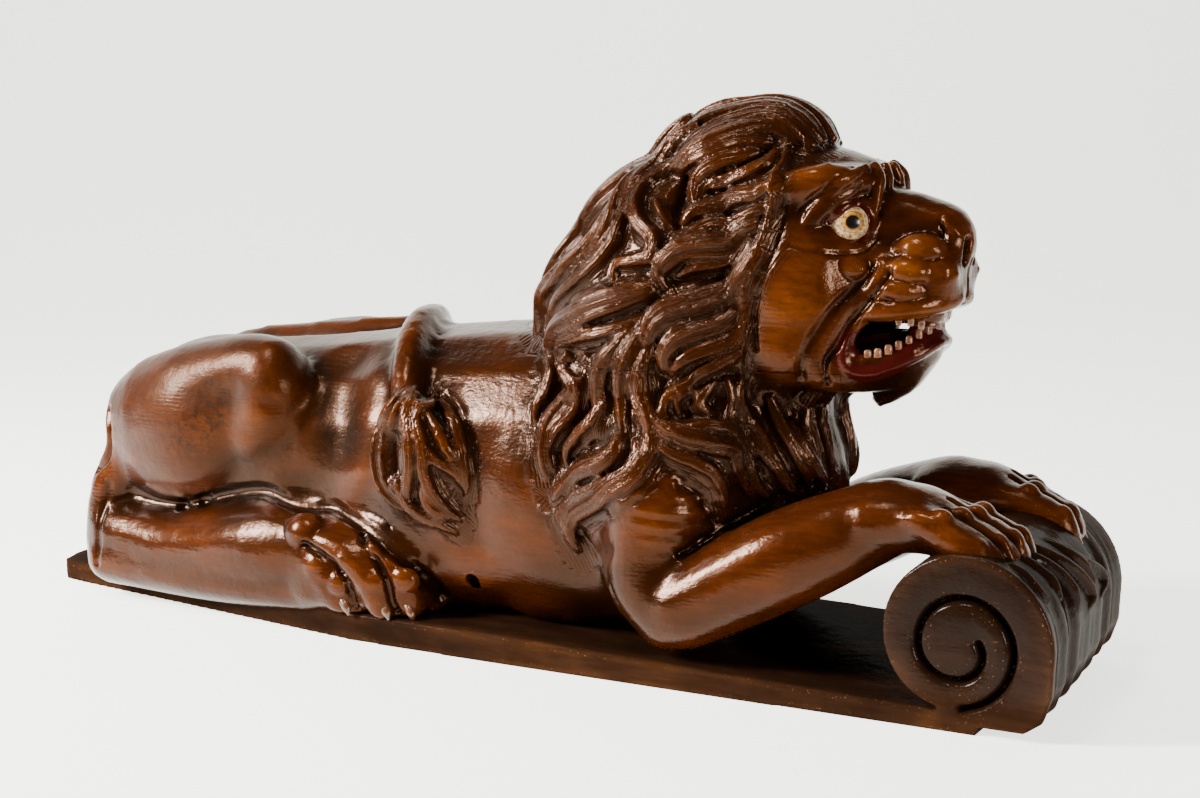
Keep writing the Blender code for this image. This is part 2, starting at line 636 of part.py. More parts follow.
def split_at_glue_line(block):
    """Parts the block into body and head, with the thickness of the glue between them."""
    chin = at(CHIN_BACK, 0, CHIN_LOW)

    def head_space(gap):
        upper = box("head space", (GLUE_LINE_BACK - gap, -BEYOND, GLUE_LINE_HEIGHT - gap), (BEYOND,) * 3)
        chin_top = GLUE_LINE_HEIGHT + BASE_THICKNESS
        lower = box("chin space", (chin.x - gap, -BEYOND, chin.z - gap), (BEYOND, BEYOND, chin_top))
        return cut(upper, lower, "UNION")

    head_block = bpy.data.objects.new("head_block", block.data.copy())
    bpy.context.collection.objects.link(head_block)
    cut(head_block, head_space(0.0), "INTERSECT")
    cut(block, head_space(GLUE_GAP))
    block.name = "body_block"
    return block, head_block


def oak(name, colour, roughness):
    """Old oak under thick varnish."""
    material = bpy.data.materials.new(name)
    material.use_nodes = True
    shader = material.node_tree.nodes["Principled BSDF"]
    shader.inputs["Base Color"].default_value = (*colour, 1)
    shader.inputs["Roughness"].default_value = roughness
    shader.inputs["Metallic"].default_value = 0
    return material


def main():
    for old in list(bpy.data.objects):
        bpy.data.objects.remove(old)
    block = carve_figure()
    cut(block, box("floor", (-BEYOND, -BEYOND, -BEYOND), (BEYOND, BEYOND, FIGURE_SEAT)))
    cut(block, base(), "UNION")
    cut(block, scroll(), "UNION")
    cut(block, fixing_hole())
    for obj, colour in zip(split_at_glue_line(block), ((0.13, 0.045, 0.016), (0.19, 0.066, 0.02))):
        obj.data.materials.clear()
        obj.data.materials.append(oak("varnished oak " + obj.name, colour, 0.35))
        obj.data.shade_smooth()
        obj.data.set_sharp_from_angle(angle=math.radians(50))


main()
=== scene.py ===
"""The look of a ship's rudder lion, carved in oak and varnished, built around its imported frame.

X runs from tail to scroll, Y across, Z up, and the origin is on the underside.
The carving is measured in hands, 777 to its length: a hand is one millimetre at this size.
"""

import math

import bmesh
import bpy
import numpy as np
from mathutils import Matrix, Vector
from mathutils.bvhtree import BVHTree


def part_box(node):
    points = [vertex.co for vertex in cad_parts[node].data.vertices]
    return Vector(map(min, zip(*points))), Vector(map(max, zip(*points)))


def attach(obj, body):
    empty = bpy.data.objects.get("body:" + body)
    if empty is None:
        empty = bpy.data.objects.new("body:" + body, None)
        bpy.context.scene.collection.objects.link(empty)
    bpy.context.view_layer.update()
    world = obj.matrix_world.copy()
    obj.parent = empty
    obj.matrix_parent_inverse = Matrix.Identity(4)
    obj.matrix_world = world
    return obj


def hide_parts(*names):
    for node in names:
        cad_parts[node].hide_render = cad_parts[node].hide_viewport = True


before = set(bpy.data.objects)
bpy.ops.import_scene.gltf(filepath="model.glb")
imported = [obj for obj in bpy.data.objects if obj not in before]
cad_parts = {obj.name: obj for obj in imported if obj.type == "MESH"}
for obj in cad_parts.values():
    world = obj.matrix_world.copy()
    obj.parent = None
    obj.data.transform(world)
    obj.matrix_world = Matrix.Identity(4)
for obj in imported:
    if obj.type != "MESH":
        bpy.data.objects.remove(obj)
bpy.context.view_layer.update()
BODY_LOW, BODY_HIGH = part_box("body_block")
HEAD_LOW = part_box("head_block")[0]
HAND = (BODY_HIGH.x - BODY_LOW.x) / 777
# The glue line between the two blocks, and its step down behind the chin
GLUE_LINE_BACK = HEAD_LOW.x / HAND
GLUE_LINE_HEIGHT = 190
GLUE_GAP = 0.3
CHIN_BACK, CHIN_LOW = 241, 150

SIDES = (-1, 1)
# How fine the masses and then the finished surface are cut, and the most triangles of a piece
ROUGH_CUT = 5.0
FINE_CUT = 1.3
MOST_TRIANGLES = 190000
# How deep the strands of a lock are cut, and how wide and thick its bed of flatter hair is beside it
STRAND_CUT = 0.28
BED_WIDTH, BED_LIFT = 1.4, 0.32


def at(x, y, z):
    """A point in metres from its place in hands."""
    return Vector((x * HAND, y * HAND, z * HAND))


def spline(points, count):
    """Points along a smooth curve through the given ones."""
    knots = np.array([tuple(p) if hasattr(p, "__len__") else (p,) for p in points], float)
    knots = np.vstack([2 * knots[0] - knots[1], knots, 2 * knots[-1] - knots[-2]])
    along = np.linspace(0, len(knots) - 3 - 1e-6, count)
    start = along.astype(int)
    t = (along - start)[:, None]
    a, b, c, d = (knots[start + i] for i in range(4))
    square, cube = 2 * a - 5 * b + 4 * c - d, 3 * b - a - 3 * c + d
    return 0.5 * (2 * b + (c - a) * t + square * t ** 2 + cube * t ** 3)


def headings(path):
    """The way that a path runs at each of its points."""
    last = len(path) - 1
    return [(path[min(i + 1, last)] - path[max(i - 1, 0)]).normalized() for i in range(last + 1)]


def join_rings(bm, rings):
    """Skins the space between rings of equal count."""
    for first, second in zip(rings, rings[1:]):
        for i in range(len(first)):
            j = (i + 1) % len(first)
            bm.faces.new((first[i], first[j], second[j], second[i]))


class Stock:
    """Closed shapes heaped on one another, to be fused into one block of wood."""

    def __init__(self):
        self.bm = bmesh.new()
        self.side = 1

    def both_sides(self):
        """Turns to the right side and then to the left; balls and limbs are written as for the left."""
        for side in SIDES:
            self.side = side
            yield side
        self.side = 1

    def at(self, x, y, z):
        return at(x, y * self.side, z)

    def ball(self, centre, radii, pitch=0):
        """An ellipsoid; pitch lifts its front."""
        turn = Matrix.Rotation(math.radians(-pitch), 4, "Y")
        size = Matrix.Diagonal((*(Vector(radii) * HAND), 1))
        place = Matrix.Translation(self.at(*centre)) @ turn @ size
        rings = []
        for rise in np.radians(np.arange(-81, 82, 9)):
            out, up = math.cos(rise), math.sin(rise)
            ring = [place @ Vector((math.cos(a) * out, math.sin(a) * out, up))
                    for a in np.radians(np.arange(0, 360, 11.25))]
            rings.append([self.bm.verts.new(point) for point in ring])
        join_rings(self.bm, rings)
        for height, ring in ((-1, rings[0][::-1]), (1, rings[-1])):
            pole = self.bm.verts.new(place @ Vector((0, 0, height)))
            for first, second in zip(ring, ring[1:] + ring[:1]):
                self.bm.faces.new((first, second, pole))

    def sleeve(self, centres, sides, ups, widths, heights, section=None, around=16):
        """Rings joined along a path, pointed or round at both ends as the widths say."""
        rings = []
        for number, (centre, side, up) in enumerate(zip(centres, sides, ups)):
            ring = []
            for i in range(around):
                angle = 2 * math.pi * i / around
                reach = section(angle, number / len(centres)) if section else 1
                across = side * (math.cos(angle) * widths[number] * reach)
                raised = up * (math.sin(angle) * heights[number] * reach)
                ring.append(self.bm.verts.new(centre + (across + raised)))
            rings.append(ring)
        join_rings(self.bm, rings)
        self.bm.faces.new(rings[0][::-1])
        self.bm.faces.new(rings[-1])

    def limb(self, points, radii, flat=1.0, steps=6):
        """A round or flattened limb through points, with round ends; flat is its width over its height."""
        count = (len(points) - 1) * steps + 1
        path = [self.at(*point) for point in spline(points, count)]
        reach = [r[0] * HAND for r in spline(radii, count)]
        ahead = headings(path)
        ends = [math.sin(math.radians(a)) for a in (80, 60, 35)]
        shrink = [math.sqrt(1 - e * e) for e in ends]
        centres = [path[0] - ahead[0] * reach[0] * e for e in ends] + path
        centres += [path[-1] + ahead[-1] * reach[-1] * e for e in reversed(ends)]
        sizes = [reach[0] * s for s in shrink] + reach + [reach[-1] * s for s in reversed(shrink)]
        ways = [ahead[0]] * 3 + ahead + [ahead[-1]] * 3
        sides = [limb_side(way) for way in ways]
        ups = [side.cross(way) for side, way in zip(sides, ways)]
        self.sleeve(centres, sides, ups, [s * flat for s in sizes], sizes)

    def lock(self, skin, points, width, lift, strands=4, twist=0.0, steps=7):
        """A lock of hair on the skin: full in its middle, pointed at its tip, in strands that may twist."""
        count = (len(points) - 1) * steps + 1
        places = [skin.find_nearest(at(*point)) for point in spline(points, count)]
        path = [place[0] for place in places]
        ahead = headings(path)
        ups = [(place[1] - h * place[1].dot(h)).normalized() for place, h in zip(places, ahead)]
        sides = [h.cross(up) for h, up in zip(ahead, ups)]
        swell = [math.sin(math.pi * (0.10 + 0.87 * i / (count - 1))) ** 0.6 for i in range(count)]
        widths = [width * HAND * max(0.10, s) for s in swell]
        heights = [lift * HAND * max(0.10, s) for s in swell]

        def section(angle, share):
            wave = abs(math.cos(strands * angle + twist * share))
            return 1 - STRAND_CUT * (1 - wave ** 0.7) * (math.sin(angle) > -0.1)

        self.sleeve(path, sides, ups, widths, heights, section, around=10 * strands)

    def fuse(self, name, cut, rubbing):
        """One closed skin around the whole heap, rubbed down so that its parts flow together."""
        bmesh.ops.recalc_face_normals(self.bm, faces=self.bm.faces)
        obj = new_object(name, self.bm)
        remesh = obj.modifiers.new("Fuse", "REMESH")
        remesh.mode = "VOXEL"
        remesh.voxel_size = cut * HAND
        rub = obj.modifiers.new("Rub down", "SMOOTH")
        rub.factor = 0.5
        rub.iterations = rubbing
        return apply_modifiers(obj)

    def add_mesh(self, mesh):
        self.bm.from_mesh(mesh)


def limb_side(heading):
    """The level direction across a heading, or along Y for an upright one."""
    side = heading.cross(Vector((0, 0, 1)))
    if side.length < 0.2:
        side = heading.cross(Vector((1, 0, 0)))
    return side.normalized()


def placed(name, data):
    """A new object in the scene."""
    obj = bpy.data.objects.new(name, data)
    bpy.context.collection.objects.link(obj)
    return obj


def new_object(name, bm):
    mesh = bpy.data.meshes.new(name)
    bm.to_mesh(mesh)
    bm.free()
    return placed(name, mesh)


def apply_modifiers(obj):
    """Bakes an object's modifiers into its mesh."""
    graph = bpy.context.evaluated_depsgraph_get()
    baked = bpy.data.meshes.new_from_object(obj.evaluated_get(graph))
    obj.modifiers.clear()
    old = obj.data
    obj.data = baked
    bpy.data.meshes.remove(old)
    return obj


def skin_of(obj):
    return BVHTree.FromObject(obj, bpy.context.evaluated_depsgraph_get())


def body(stock):
    """Barrel, belly, chest and rump."""
    stock.limb([(-250, 0, 102), (-150, 0, 102), (-40, 0, 112), (60, 0, 115), (120, 0, 112)],
               [78, 86, 90, 95, 90], flat=0.90)
    stock.limb([(-120, 0, 58), (0, 0, 60), (110, 0, 60)], [46, 47, 46], flat=1.72)
    stock.ball((-248, 0, 106), (84, 76, 76))
    stock.ball((133, 0, 118), (96, 68, 86))
    for _ in stock.both_sides():
        stock.ball((-20, 30, 96), (110, 55, 84))
        stock.ball((50, 34, 100), (90, 54, 88))


# A forepaw: how far out its middle is, from toe to toe, and how much lower it lies for a hand to the left
PAW_MIDDLE = 64
PAW_SPREAD = 13.5
PAW_LEAN = 0.045
# How far each forepaw toe stays behind the longest, inner one first
TOE_BACK = (0, 0, 4, 11)

# The long toes of a hind paw, outermost first, from the instep to the claw
HIND_TOES = (
    ((-128, 88, 52), (-104, 95, 46), (-86, 95, 24)),
    ((-112, 88, 62), (-84, 94, 58), (-62, 95, 42), (-54, 94, 23)),
    ((-94, 78, 67), (-66, 83, 62), (-44, 86, 46), (-36, 85, 24)),
    ((-86, 66, 66), (-60, 67, 60), (-40, 67, 44), (-34, 66, 24)),
)


def haunch(stock):
    """Folded hind leg: slab of a thigh up to its squared knee, hock, and long foot on the base."""
    stock.limb([(-264, 53, 120), (-226, 60, 130), (-186, 60, 148)], [53, 54, 43], flat=0.68)
    stock.limb([(-226, 56, 150), (-176, 63, 167), (-160, 65, 165)], [36, 27, 26])
    stock.limb([(-160, 66, 168), (-156, 68, 150), (-172, 64, 126)], [25, 25, 24])
    stock.limb([(-292, 58, 98), (-305, 66, 72), (-307, 68, 36)], [20, 16, 17])
    stock.limb([(-298, 66, 46), (-230, 70, 40), (-160, 72, 50), (-112, 74, 52)], [23, 27, 33, 30])
    stock.limb([(-300, 72, 26), (-200, 78, 26), (-112, 80, 28)], [18, 19, 18], flat=1.1)
    stock.limb([(-112, 84, 34), (-78, 86, 28)], [20, 15])
    for toe in HIND_TOES:
        stock.limb(toe, [13] + [11] * (len(toe) - 2) + [9])


def on_paw(side, x, y, z, share=1.0):
    """A place on a forepaw, written as for the left one; share is how much of the lean it takes."""
    return (x, y, z - PAW_LEAN * y * side * share)


def forepaw_toes():
    """How far across each toe of a forepaw lies and how far it stays back, inner one first."""
    for number, back in enumerate(TOE_BACK):
        yield PAW_MIDDLE + PAW_SPREAD * (number - 1.5), back


def foreleg(stock, side):
    """Shoulder, upper arm down to the elbow on the base, forearm up to the scroll and the paw over it."""
    stock.ball((126, 58, 116), (58, 36, 72), pitch=-12)
    stock.limb([(136, 66, 108), (132, 74, 66), (148, 80, 42)], [38, 30, 24])
    stock.limb([(156, 80, 46), on_paw(side, 224, 72, 82, 0.5), on_paw(side, 280, 60, 109)], [27, 30, 24])
    stock.limb([on_paw(side, 272, 60, 108), on_paw(side, 302, 61, 109), on_paw(side, 328, 63, 101)],
               [22, 20, 15], flat=1.4)
    for across, back in forepaw_toes():
        stock.limb([on_paw(side, 306, across, 113), on_paw(side, 334 - back, across, 106),
                    on_paw(side, 353 - back, across, 96 - back / 4), on_paw(side, 359 - back, across, 84)],
                   [9, 10.5, 10, 7])


def head(stock):
    """Skull, cheeks, brow, muzzle, lips, jaw and chin."""
    stock.ball((198, 0, 276), (52, 54, 50))
    stock.limb([(220, 0, 308), (240, 0, 305)], [15, 12], flat=1.9)
    stock.limb([(228, 0, 276), (262, 0, 266), (284, 0, 261)], [32, 26, 20])
    stock.limb([(244, 0, 286), (270, 0, 284), (293, 0, 278)], [16, 13, 12], flat=1.4)
    stock.ball((297, 0, 267), (12, 17, 18))
    stock.ball((293, 0, 242), (12, 14, 12))
    stock.limb([(212, 0, 198), (250, 0, 193), (276, 0, 203)], [16, 12, 10], flat=1.7)
    stock.ball((279, 0, 202), (11, 14, 10))
    stock.limb([(270, 0, 191), (260, 0, 181), (251, 0, 171)], [12, 11, 7], flat=1.3)
    for _ in stock.both_sides():
        stock.ball((206, 37, 240), (38, 24, 50))
        stock.ball((202, 36, 208), (34, 23, 30))
        stock.ball((229, 30, 260), (24, 15, 13))
        stock.limb([(204, 46, 298), (226, 41, 304), (239, 34, 305), (244, 23, 307)], [10, 11, 9, 7])
        stock.limb([(246, 22, 307), (251, 20, 297), (250, 22, 286)], [7, 6, 4])
        stock.ball((282, 18, 250), (24, 14, 16))
        stock.ball((262, 26, 244), (22, 14, 15))
        stock.limb([(252, 34, 231), (266, 31, 232), (280, 25, 233),
                    (292, 17, 234), (297, 8, 236)], [8, 9, 9, 9, 9])
        stock.limb([(252, 34, 226), (242, 37, 212), (242, 36, 200)], [6, 7, 7])
        stock.limb([(243, 34, 196), (258, 30, 195), (271, 24, 200),
                    (281, 15, 207), (284, 6, 210)], [7, 7, 7, 7, 6])
        stock.limb([(224, 34, 192), (243, 28, 188), (260, 17, 190), (276, 6, 198)], [15, 12, 12, 10])


def mane_mass(stock):
    """The bulk of the mane under its locks, from the crown to the throat."""
    stock.ball((118, 0, 205), (98, 75, 80))
    stock.ball((131, 0, 246), (80, 65, 68))
    stock.ball((153, 0, 304), (50, 40, 42))
    stock.ball((172, 0, 316), (44, 32, 30))
    stock.limb([(184, 0, 215), (196, 0, 160), (204, 0, 118)], [39, 24, 22], flat=1.5)
    for _ in stock.both_sides():
        stock.ball((118, 42, 184), (68, 38, 86))


def tail(stock):
    """Tail along the far side of the back, over it, and down the near flank to its tuft."""
    stock.limb([(-318, 12, 116), (-302, 26, 148), (-262, 38, 173), (-200, 42, 183), (-150, 42, 189),
                (-116, 44, 192), (-92, 34, 198), (-78, 12, 203), (-71, -14, 203), (-63, -39, 194),
                (-54, -58, 180), (-47, -72, 163), (-42, -83, 146)],
               [10, 9, 8, 7.5, 7.5, 8, 8.5, 9.5, 10.5, 11, 11.5, 11, 8])
    stock.limb([(-250, 36, 160), (-180, 36, 168), (-110, 36, 172), (-80, 12, 180)], [16, 16, 16, 14])
    stock.limb([(-35, -84, 158), (-33, -85, 138), (-28, -85, 118), (-19, -84, 99), (-7, -84, 85)],
               [13, 26, 30, 23, 9], flat=0.40)


# Locks of the mane: half width, lift, strands, then the way from root to tip as (x, z) seen from the side,
# or (x, y, z) where it turns round to the front or the back
MANE_LOCKS = (
    (9, 9, 4, (206, 26, 327), (192, 28, 336), (175, 30, 334), (154, 35, 326), (137, 41, 319),
     (119, 39, 309)),
    (8, 8, 3, (189, 31, 327), (173, 33, 325), (155, 37, 319), (140, 40, 314), (129, 42, 308)),
    (7, 8, 3, (116, 35, 314), (106, 43, 297), (101, 55, 278), (96, 58, 259), (86, 61, 247), (70, 58, 235),
     (57, 54, 225), (50, 52, 214)),
    (7, 9, 3, (131, 315), (113, 300), (109, 287), (117, 275), (128, 267), (127, 256), (115, 252),
     (105, 250), (103, 240)),
    (4, 6, 2, (122, 290), (128, 283), (138, 273)),
    (7, 8, 3, (183, 320), (174, 316), (161, 313), (149, 305), (146, 296), (148, 287)),
    (7, 8, 3, (193, 320), (191, 311), (181, 305), (165, 302), (154, 298), (150, 289)),
    (8, 9, 4, (203, 302), (191, 295), (175, 291), (161, 285), (150, 283), (143, 275)),
    (7, 8, 3, (199, 289), (188, 283), (174, 276), (161, 275), (150, 270), (140, 263)),
    (10, 11, 4, (195, 279), (185, 273), (173, 264), (160, 263), (147, 261), (137, 253), (134, 245),
     (139, 238)),
    (7, 8, 3, (193, 269), (181, 260), (168, 255), (155, 252), (144, 245)),
    (11, 11, 5, (197, 265), (190, 254), (181, 240), (169, 233), (156, 228), (142, 224), (134, 216),
     (131, 207), (130, 197)),
    (9, 9, 4, (191, 248), (183, 231), (170, 219), (157, 214), (147, 208), (142, 199), (142, 189)),
    (7, 8, 3, (189, 232), (183, 215), (174, 207), (162, 202), (152, 196), (146, 187)),
    (6, 7, 3, (187, 214), (181, 202), (170, 194), (161, 188), (154, 182)),
    (4.5, 6, 2, (196, 328), (200, 315), (203, 298), (200, 283), (197, 267), (192, 256), (189, 239),
     (185, 221), (184, 206), (182, 192), (183, 175)),
    (7, 8, 3, (182, 187), (183, 60, 175), (186, 57, 163), (192, 53, 153), (200, 50, 139), (207, 43, 123),
     (212, 36, 114)),
    (11, 11, 4, (133, 239), (124, 235), (110, 230), (96, 225), (80, 217), (64, 208), (56, 197),
     (59, 186)),
    (6, 8, 3, (129, 221), (116, 215), (98, 210), (82, 206), (71, 201), (65, 193), (70, 186)),
    (5, 7, 2, (104, 239), (95, 234), (81, 229), (70, 222)),
    (8, 9, 4, (131, 217), (124, 205), (118, 190), (117, 172), (121, 150)),
    (8, 9, 4, (122, 214), (111, 201), (103, 189), (100, 171), (99, 157)),
    (8, 9, 4, (134, 206), (128, 189), (130, 172), (138, 158), (141, 146)),
    (6, 8, 3, (46, 50, 197), (55, 66, 186), (59, 177), (56, 167), (53, 161), (53, 151)),
    (8, 9, 4, (75, 196), (71, 186), (82, 176), (75, 166), (68, 157), (63, 146), (62, 133), (65, 119)),
    (6, 8, 3, (86, 183), (84, 169), (78, 156), (69, 146), (65, 135), (69, 124)),
    (6, 8, 3, (101, 184), (104, 168), (97, 154), (86, 145), (79, 137), (78, 127)),
    (8, 9, 4, (120, 151), (117, 140), (108, 132), (92, 125), (78, 115), (70, 105)),
    (9, 9, 4, (136, 161), (140, 145), (136, 136), (131, 125), (114, 114), (92, 102), (82, 92), (82, 83),
     (86, 74)),
    (6, 8, 3, (131, 149), (132, 137), (123, 125), (104, 117), (85, 108), (75, 97), (77, 87)),
    (5, 7, 3, (163, 187), (153, 181), (147, 176), (144, 167), (149, 159)),
    (4, 6, 2, (164, 179), (155, 177), (151, 171), (154, 163)),
    (5, 7, 3, (171, 185), (165, 178), (162, 171), (167, 165), (172, 163)),
    (7, 8, 3, (175, 187), (177, 173), (175, 161), (182, 61, 151), (190, 60, 138), (193, 56, 122),
     (197, 45, 112)),
    (8, 9, 4, (135, 166), (145, 157), (158, 151), (171, 147), (180, 142), (185, 66, 134), (188, 59, 122),
     (190, 53, 111)),
    (6, 8, 3, (140, 152), (151, 143), (166, 137), (174, 130), (178, 120), (179, 108)),
    (6, 8, 3, (147, 159), (159, 156), (170, 157), (178, 152), (186, 66, 144), (192, 59, 132),
     (196, 53, 118)),
    (7, 8, 3, (186, 56, 160), (195, 54, 146), (203, 47, 131), (207, 38, 114)),
    (6, 7, 3, (236, 20, 178), (230, 22, 161), (228, 20, 145), (230, 18, 122)),
    (6, 7, 3, (224, 34, 172), (222, 36, 158), (224, 32, 139), (226, 28, 118)),
    (7, 8, 3, (207, 38, 159), (214, 37, 145), (221, 30, 129), (224, 20, 117)),
    (7, 8, 3, (197, 45, 172), (205, 42, 154), (214, 37, 134), (218, 31, 117)),
)
# The twisted lock down the edge of the back, and the dark pits between the curls
ROPE_LOCK = (10, 11, 3, (141, 27, 335), (119, 31, 321), (105, 34, 310), (97, 47, 295), (93, 57, 281),
             (84, 58, 266), (69, 56, 254), (53, 53, 241), (38, 45, 230), (28, 40, 218), (26, 38, 204))
PITS = (
    (9, 8, (142, 307), (138, 294), (142, 280)),
    (6, 5, (120, 282), (126, 272), (130, 262)),
    (6, 5, (112, 244), (124, 243), (134, 232)),
    (7, 4, (92, 198), (108, 204), (120, 206)),
    (6, 4, (88, 176), (92, 162), (90, 148)),
    (6, 4, (154, 168), (158, 160), (164, 152)),
    (6, 4, (96, 140), (106, 144), (112, 150)),
    (7, 4, (160, 126), (168, 118), (176, 100)),
    (30, 6, (-112, 172), (-106, 152), (-103, 130), (-110, 108), (-126, 92)),
)
# Locks over the crown and down the nape, and from one to the next
CREST_LOCKS, CREST_SPREAD = 5, 13
NAPE_LOCKS, NAPE_SPREAD = 4, 14

# Lines gouged on both sides: half width and depth, then the way as (x, z) or (x, y, z)
CREASES = (
    (5, 2.4, (257, 254), (251, 243), (238, 229), (229, 215), (222, 201), (218, 187)),
    (3.5, 2.6, (270, 254), (266, 246), (258, 235), (246, 220), (239, 207), (233, 196), (233, 184)),
    (2.5, 1.0, (274, 27, 257), (283, 27, 257), (292, 23, 257)),
    (2.5, 1.0, (270, 38, 247), (276, 36, 246), (286, 31, 246)),
    (2.5, 1.2, (257, 40, 236), (266, 38, 235), (280, 35, 234)),
    (2.5, 0.9, (216, 50, 286), (225, 48, 296), (236, 44, 305), (243, 34, 312)),
    (2.5, 1.0, (212, 52, 265), (222, 50, 262), (236, 45, 261), (250, 34, 262), (258, 26, 270)),
    (2.5, 2.2, (257, 20, 306), (258, 22, 296), (257, 24, 284)),
    (3, 2.0, (246, 33, 302), (247, 34, 294), (247, 33, 290)),
    (3, 2.4, (292, 18, 284), (294, 20, 274), (297, 18, 264)),
    (4, 6.0, (307, 8, 269), (307, 9, 263), (305, 8, 257)),
    (2, 1.6, (310, 0, 256), (307, 0, 246), (304, 0, 236)),
    (3, 1.6, (208, 306), (209, 290), (205, 268), (197, 244), (192, 222), (193, 204)),
    (7, 4.0, (-236, 70), (-200, 81), (-166, 88), (-142, 85), (-125, 83), (-107, 84), (-89, 79), (-61, 69),
     (-44, 59), (-32, 48), (-26, 37), (-24, 29)),
    (5, 1.8, (-296, 80), (-299, 56), (-299, 26)),
    (4, 3.4, (-110, 62), (-98, 58), (-86, 52), (-78, 44), (-74, 32), (-72, 22)),
    (4, 3.4, (-72, 71), (-64, 63), (-53, 53), (-46, 41), (-44, 30), (-42, 22)),
    (3.4, 3.0, (322, 50, 128), (340, 50, 121), (356, 50, 110), (367, 50, 92)),
    (3.4, 3.0, (319, 64, 128), (340, 64, 121), (356, 64, 110), (367, 64, 92)),
    (3.4, 3.0, (322, 78, 126), (338, 78, 118), (354, 78, 108), (366, 78, 90)),
    (6, 4.0, (-300, 132), (-296, 118), (-300, 100), (-310, 90)),
    (5, 2.0, (84, 92), (98, 74), (114, 56), (124, 36)),
    (5, 3.0, (218, 124), (196, 108), (176, 94), (160, 82)),
)

# Locks of the tail's tuft on the near flank, as the mane's are given, and the pits between them
TUFT_LOCKS = (
    (6, 7, 3, (-22, 159), (-11, 151), (-4, 143), (2, 128), (6, 113), (5, 102)),
    (5, 7, 3, (-22, 154), (-13, 143), (-4, 128), (3, 118), (5, 106)),
    (5, 7, 3, (-24, 143), (-16, 131), (-9, 124), (0, 115), (5, 105)),
    (6, 8, 3, (-32, 162), (-31, 149), (-27, 136), (-26, 123), (-28, 110), (-30, 100), (-26, 90)),
    (6, 8, 3, (-28, 161), (-24, 146), (-18, 131), (-17, 115), (-12, 102), (-5, 92), (3, 85)),
    (6, 7, 3, (-43, 162), (-49, 152), (-56, 139), (-59, 125), (-57, 111), (-49, 98), (-39, 89)),
    (4, 6, 2, (-36, 162), (-41, 151), (-46, 140)),
    (4, 6, 2, (-32, 164), (-34, 152), (-36, 140)),
    (4, 6, 2, (-27, 164), (-25, 153), (-22, 143)),
    (6, 8, 3, (-38, 112), (-32, 99), (-23, 91), (-11, 85), (-1, 77)),
    (5, 8, 3, (-20, 112), (-17, 99), (-10, 91), (-1, 87)),
)
TUFT_PITS = (
    (9, 9, (-46, 136), (-47, 126), (-45, 114)),
    (5, 6, (-13, 137), (-16, 127), (-13, 117)),
    (4, 5, (-27, 89), (-18, 87), (-11, 82)),
)


def on_skin(skin, point, side):
    """The point of the skin seen at (x, z) from the side, or nearest (x, y, z), in hands."""
    if len(point) == 2:
        place = skin.ray_cast(at(point[0], 200 * side, point[1]), Vector((0, -side, 0)))[0]
        point = (point[0], 60, point[1])
    else:
        place = None
    if place is None:
        place = skin.find_nearest(at(point[0], point[1] * side, point[2]))[0]
    return tuple(place / HAND)


def lay_locks(stock, skin, table, side, hair, twist=0.0):
    """Lays locks over a bed of flatter hair and keeps their ways, with the widths, in hair."""
    for width, lift, strands, *way in table:
        points = [on_skin(skin, point, side) for point in way]
        stock.lock(skin, points, width * BED_WIDTH, lift * BED_LIFT, strands + 2, steps=5)
        stock.lock(skin, points, width, lift * 1.2, strands, twist)
        hair.append((spline(points, 5 * len(points)), width * BED_WIDTH))


def places_of(mesh, what="co"):
    """Places or normals of a mesh's vertices as rows of three."""
    values = np.empty(len(mesh.vertices) * 3)
    mesh.vertices.foreach_get(what, values)
    return values.reshape(-1, 3)


def move_to(mesh, places):
    mesh.vertices.foreach_set("co", places.ravel())
    mesh.update()


def close_to(places, path, reach):
    """Which places lie in the box around a path, widened by reach."""
    return np.all((places > path.min(0) - reach) & (places < path.max(0) + reach), axis=1)


def stand_off(places, start, end):
    """The way from the nearest point of a straight run to each place."""
    run = end - start
    share = np.clip((places - start) @ run / (run @ run), 0, 1)[:, None]
    return places - start - share * run


def gap_to(places, path, reach):
    """How far each place lies from a path, infinite beyond reach."""
    gap = np.full(len(places), np.inf)
    near = close_to(places, path, reach)
    here = places[near]
    least = np.full(len(here), np.inf)
    for start, end in zip(path, path[1:]):
        least = np.minimum(least, np.linalg.norm(stand_off(here, start, end), axis=1))
    gap[near] = least
    return gap


def score(obj, skin, table, side):
    """Gouges lines into the surface: half width, depth, then the way over the skin."""
    places, normals = places_of(obj.data), places_of(obj.data, "normal")
    sink = np.zeros(len(places))
    for width, depth, *way in table:
        path = spline([at(*on_skin(skin, point, side)) for point in way], 9 * len(way))
        gap = gap_to(places, path, width * HAND)
        sink += depth * HAND * np.clip(1 - (gap / (width * HAND)) ** 2, 0, 1) ** 2
    move_to(obj.data, places - normals * sink[:, None])


def mane(stock, skin, hair):
    """Locks over the sides of the mane, the forelock combed back over the crown and locks down the nape."""
    for side in SIDES:
        lay_locks(stock, skin, MANE_LOCKS, side, hair)
        lay_locks(stock, skin, [ROPE_LOCK], side, hair, 14 * side)
    crest = []
    for number in range(CREST_LOCKS):
        across = CREST_SPREAD * (number - (CREST_LOCKS - 1) / 2)
        crest.append((9, 9, 3, (213, across * 0.7, 318), (206, across * 0.9, 334), (188, across, 346),
                      (164, across * 1.2, 344), (128, across * 1.4, 322)))
    for number in range(NAPE_LOCKS):
        across = NAPE_SPREAD * (number - (NAPE_LOCKS - 1) / 2)
        crest.append((10, 10, 3, (136, across, 326), (104, across * 1.1, 302), (76, across * 0.9, 272),
                      (50, across * 1.1, 246), (27, across * 1.2, 214)))
    lay_locks(stock, skin, crest, 1, hair)


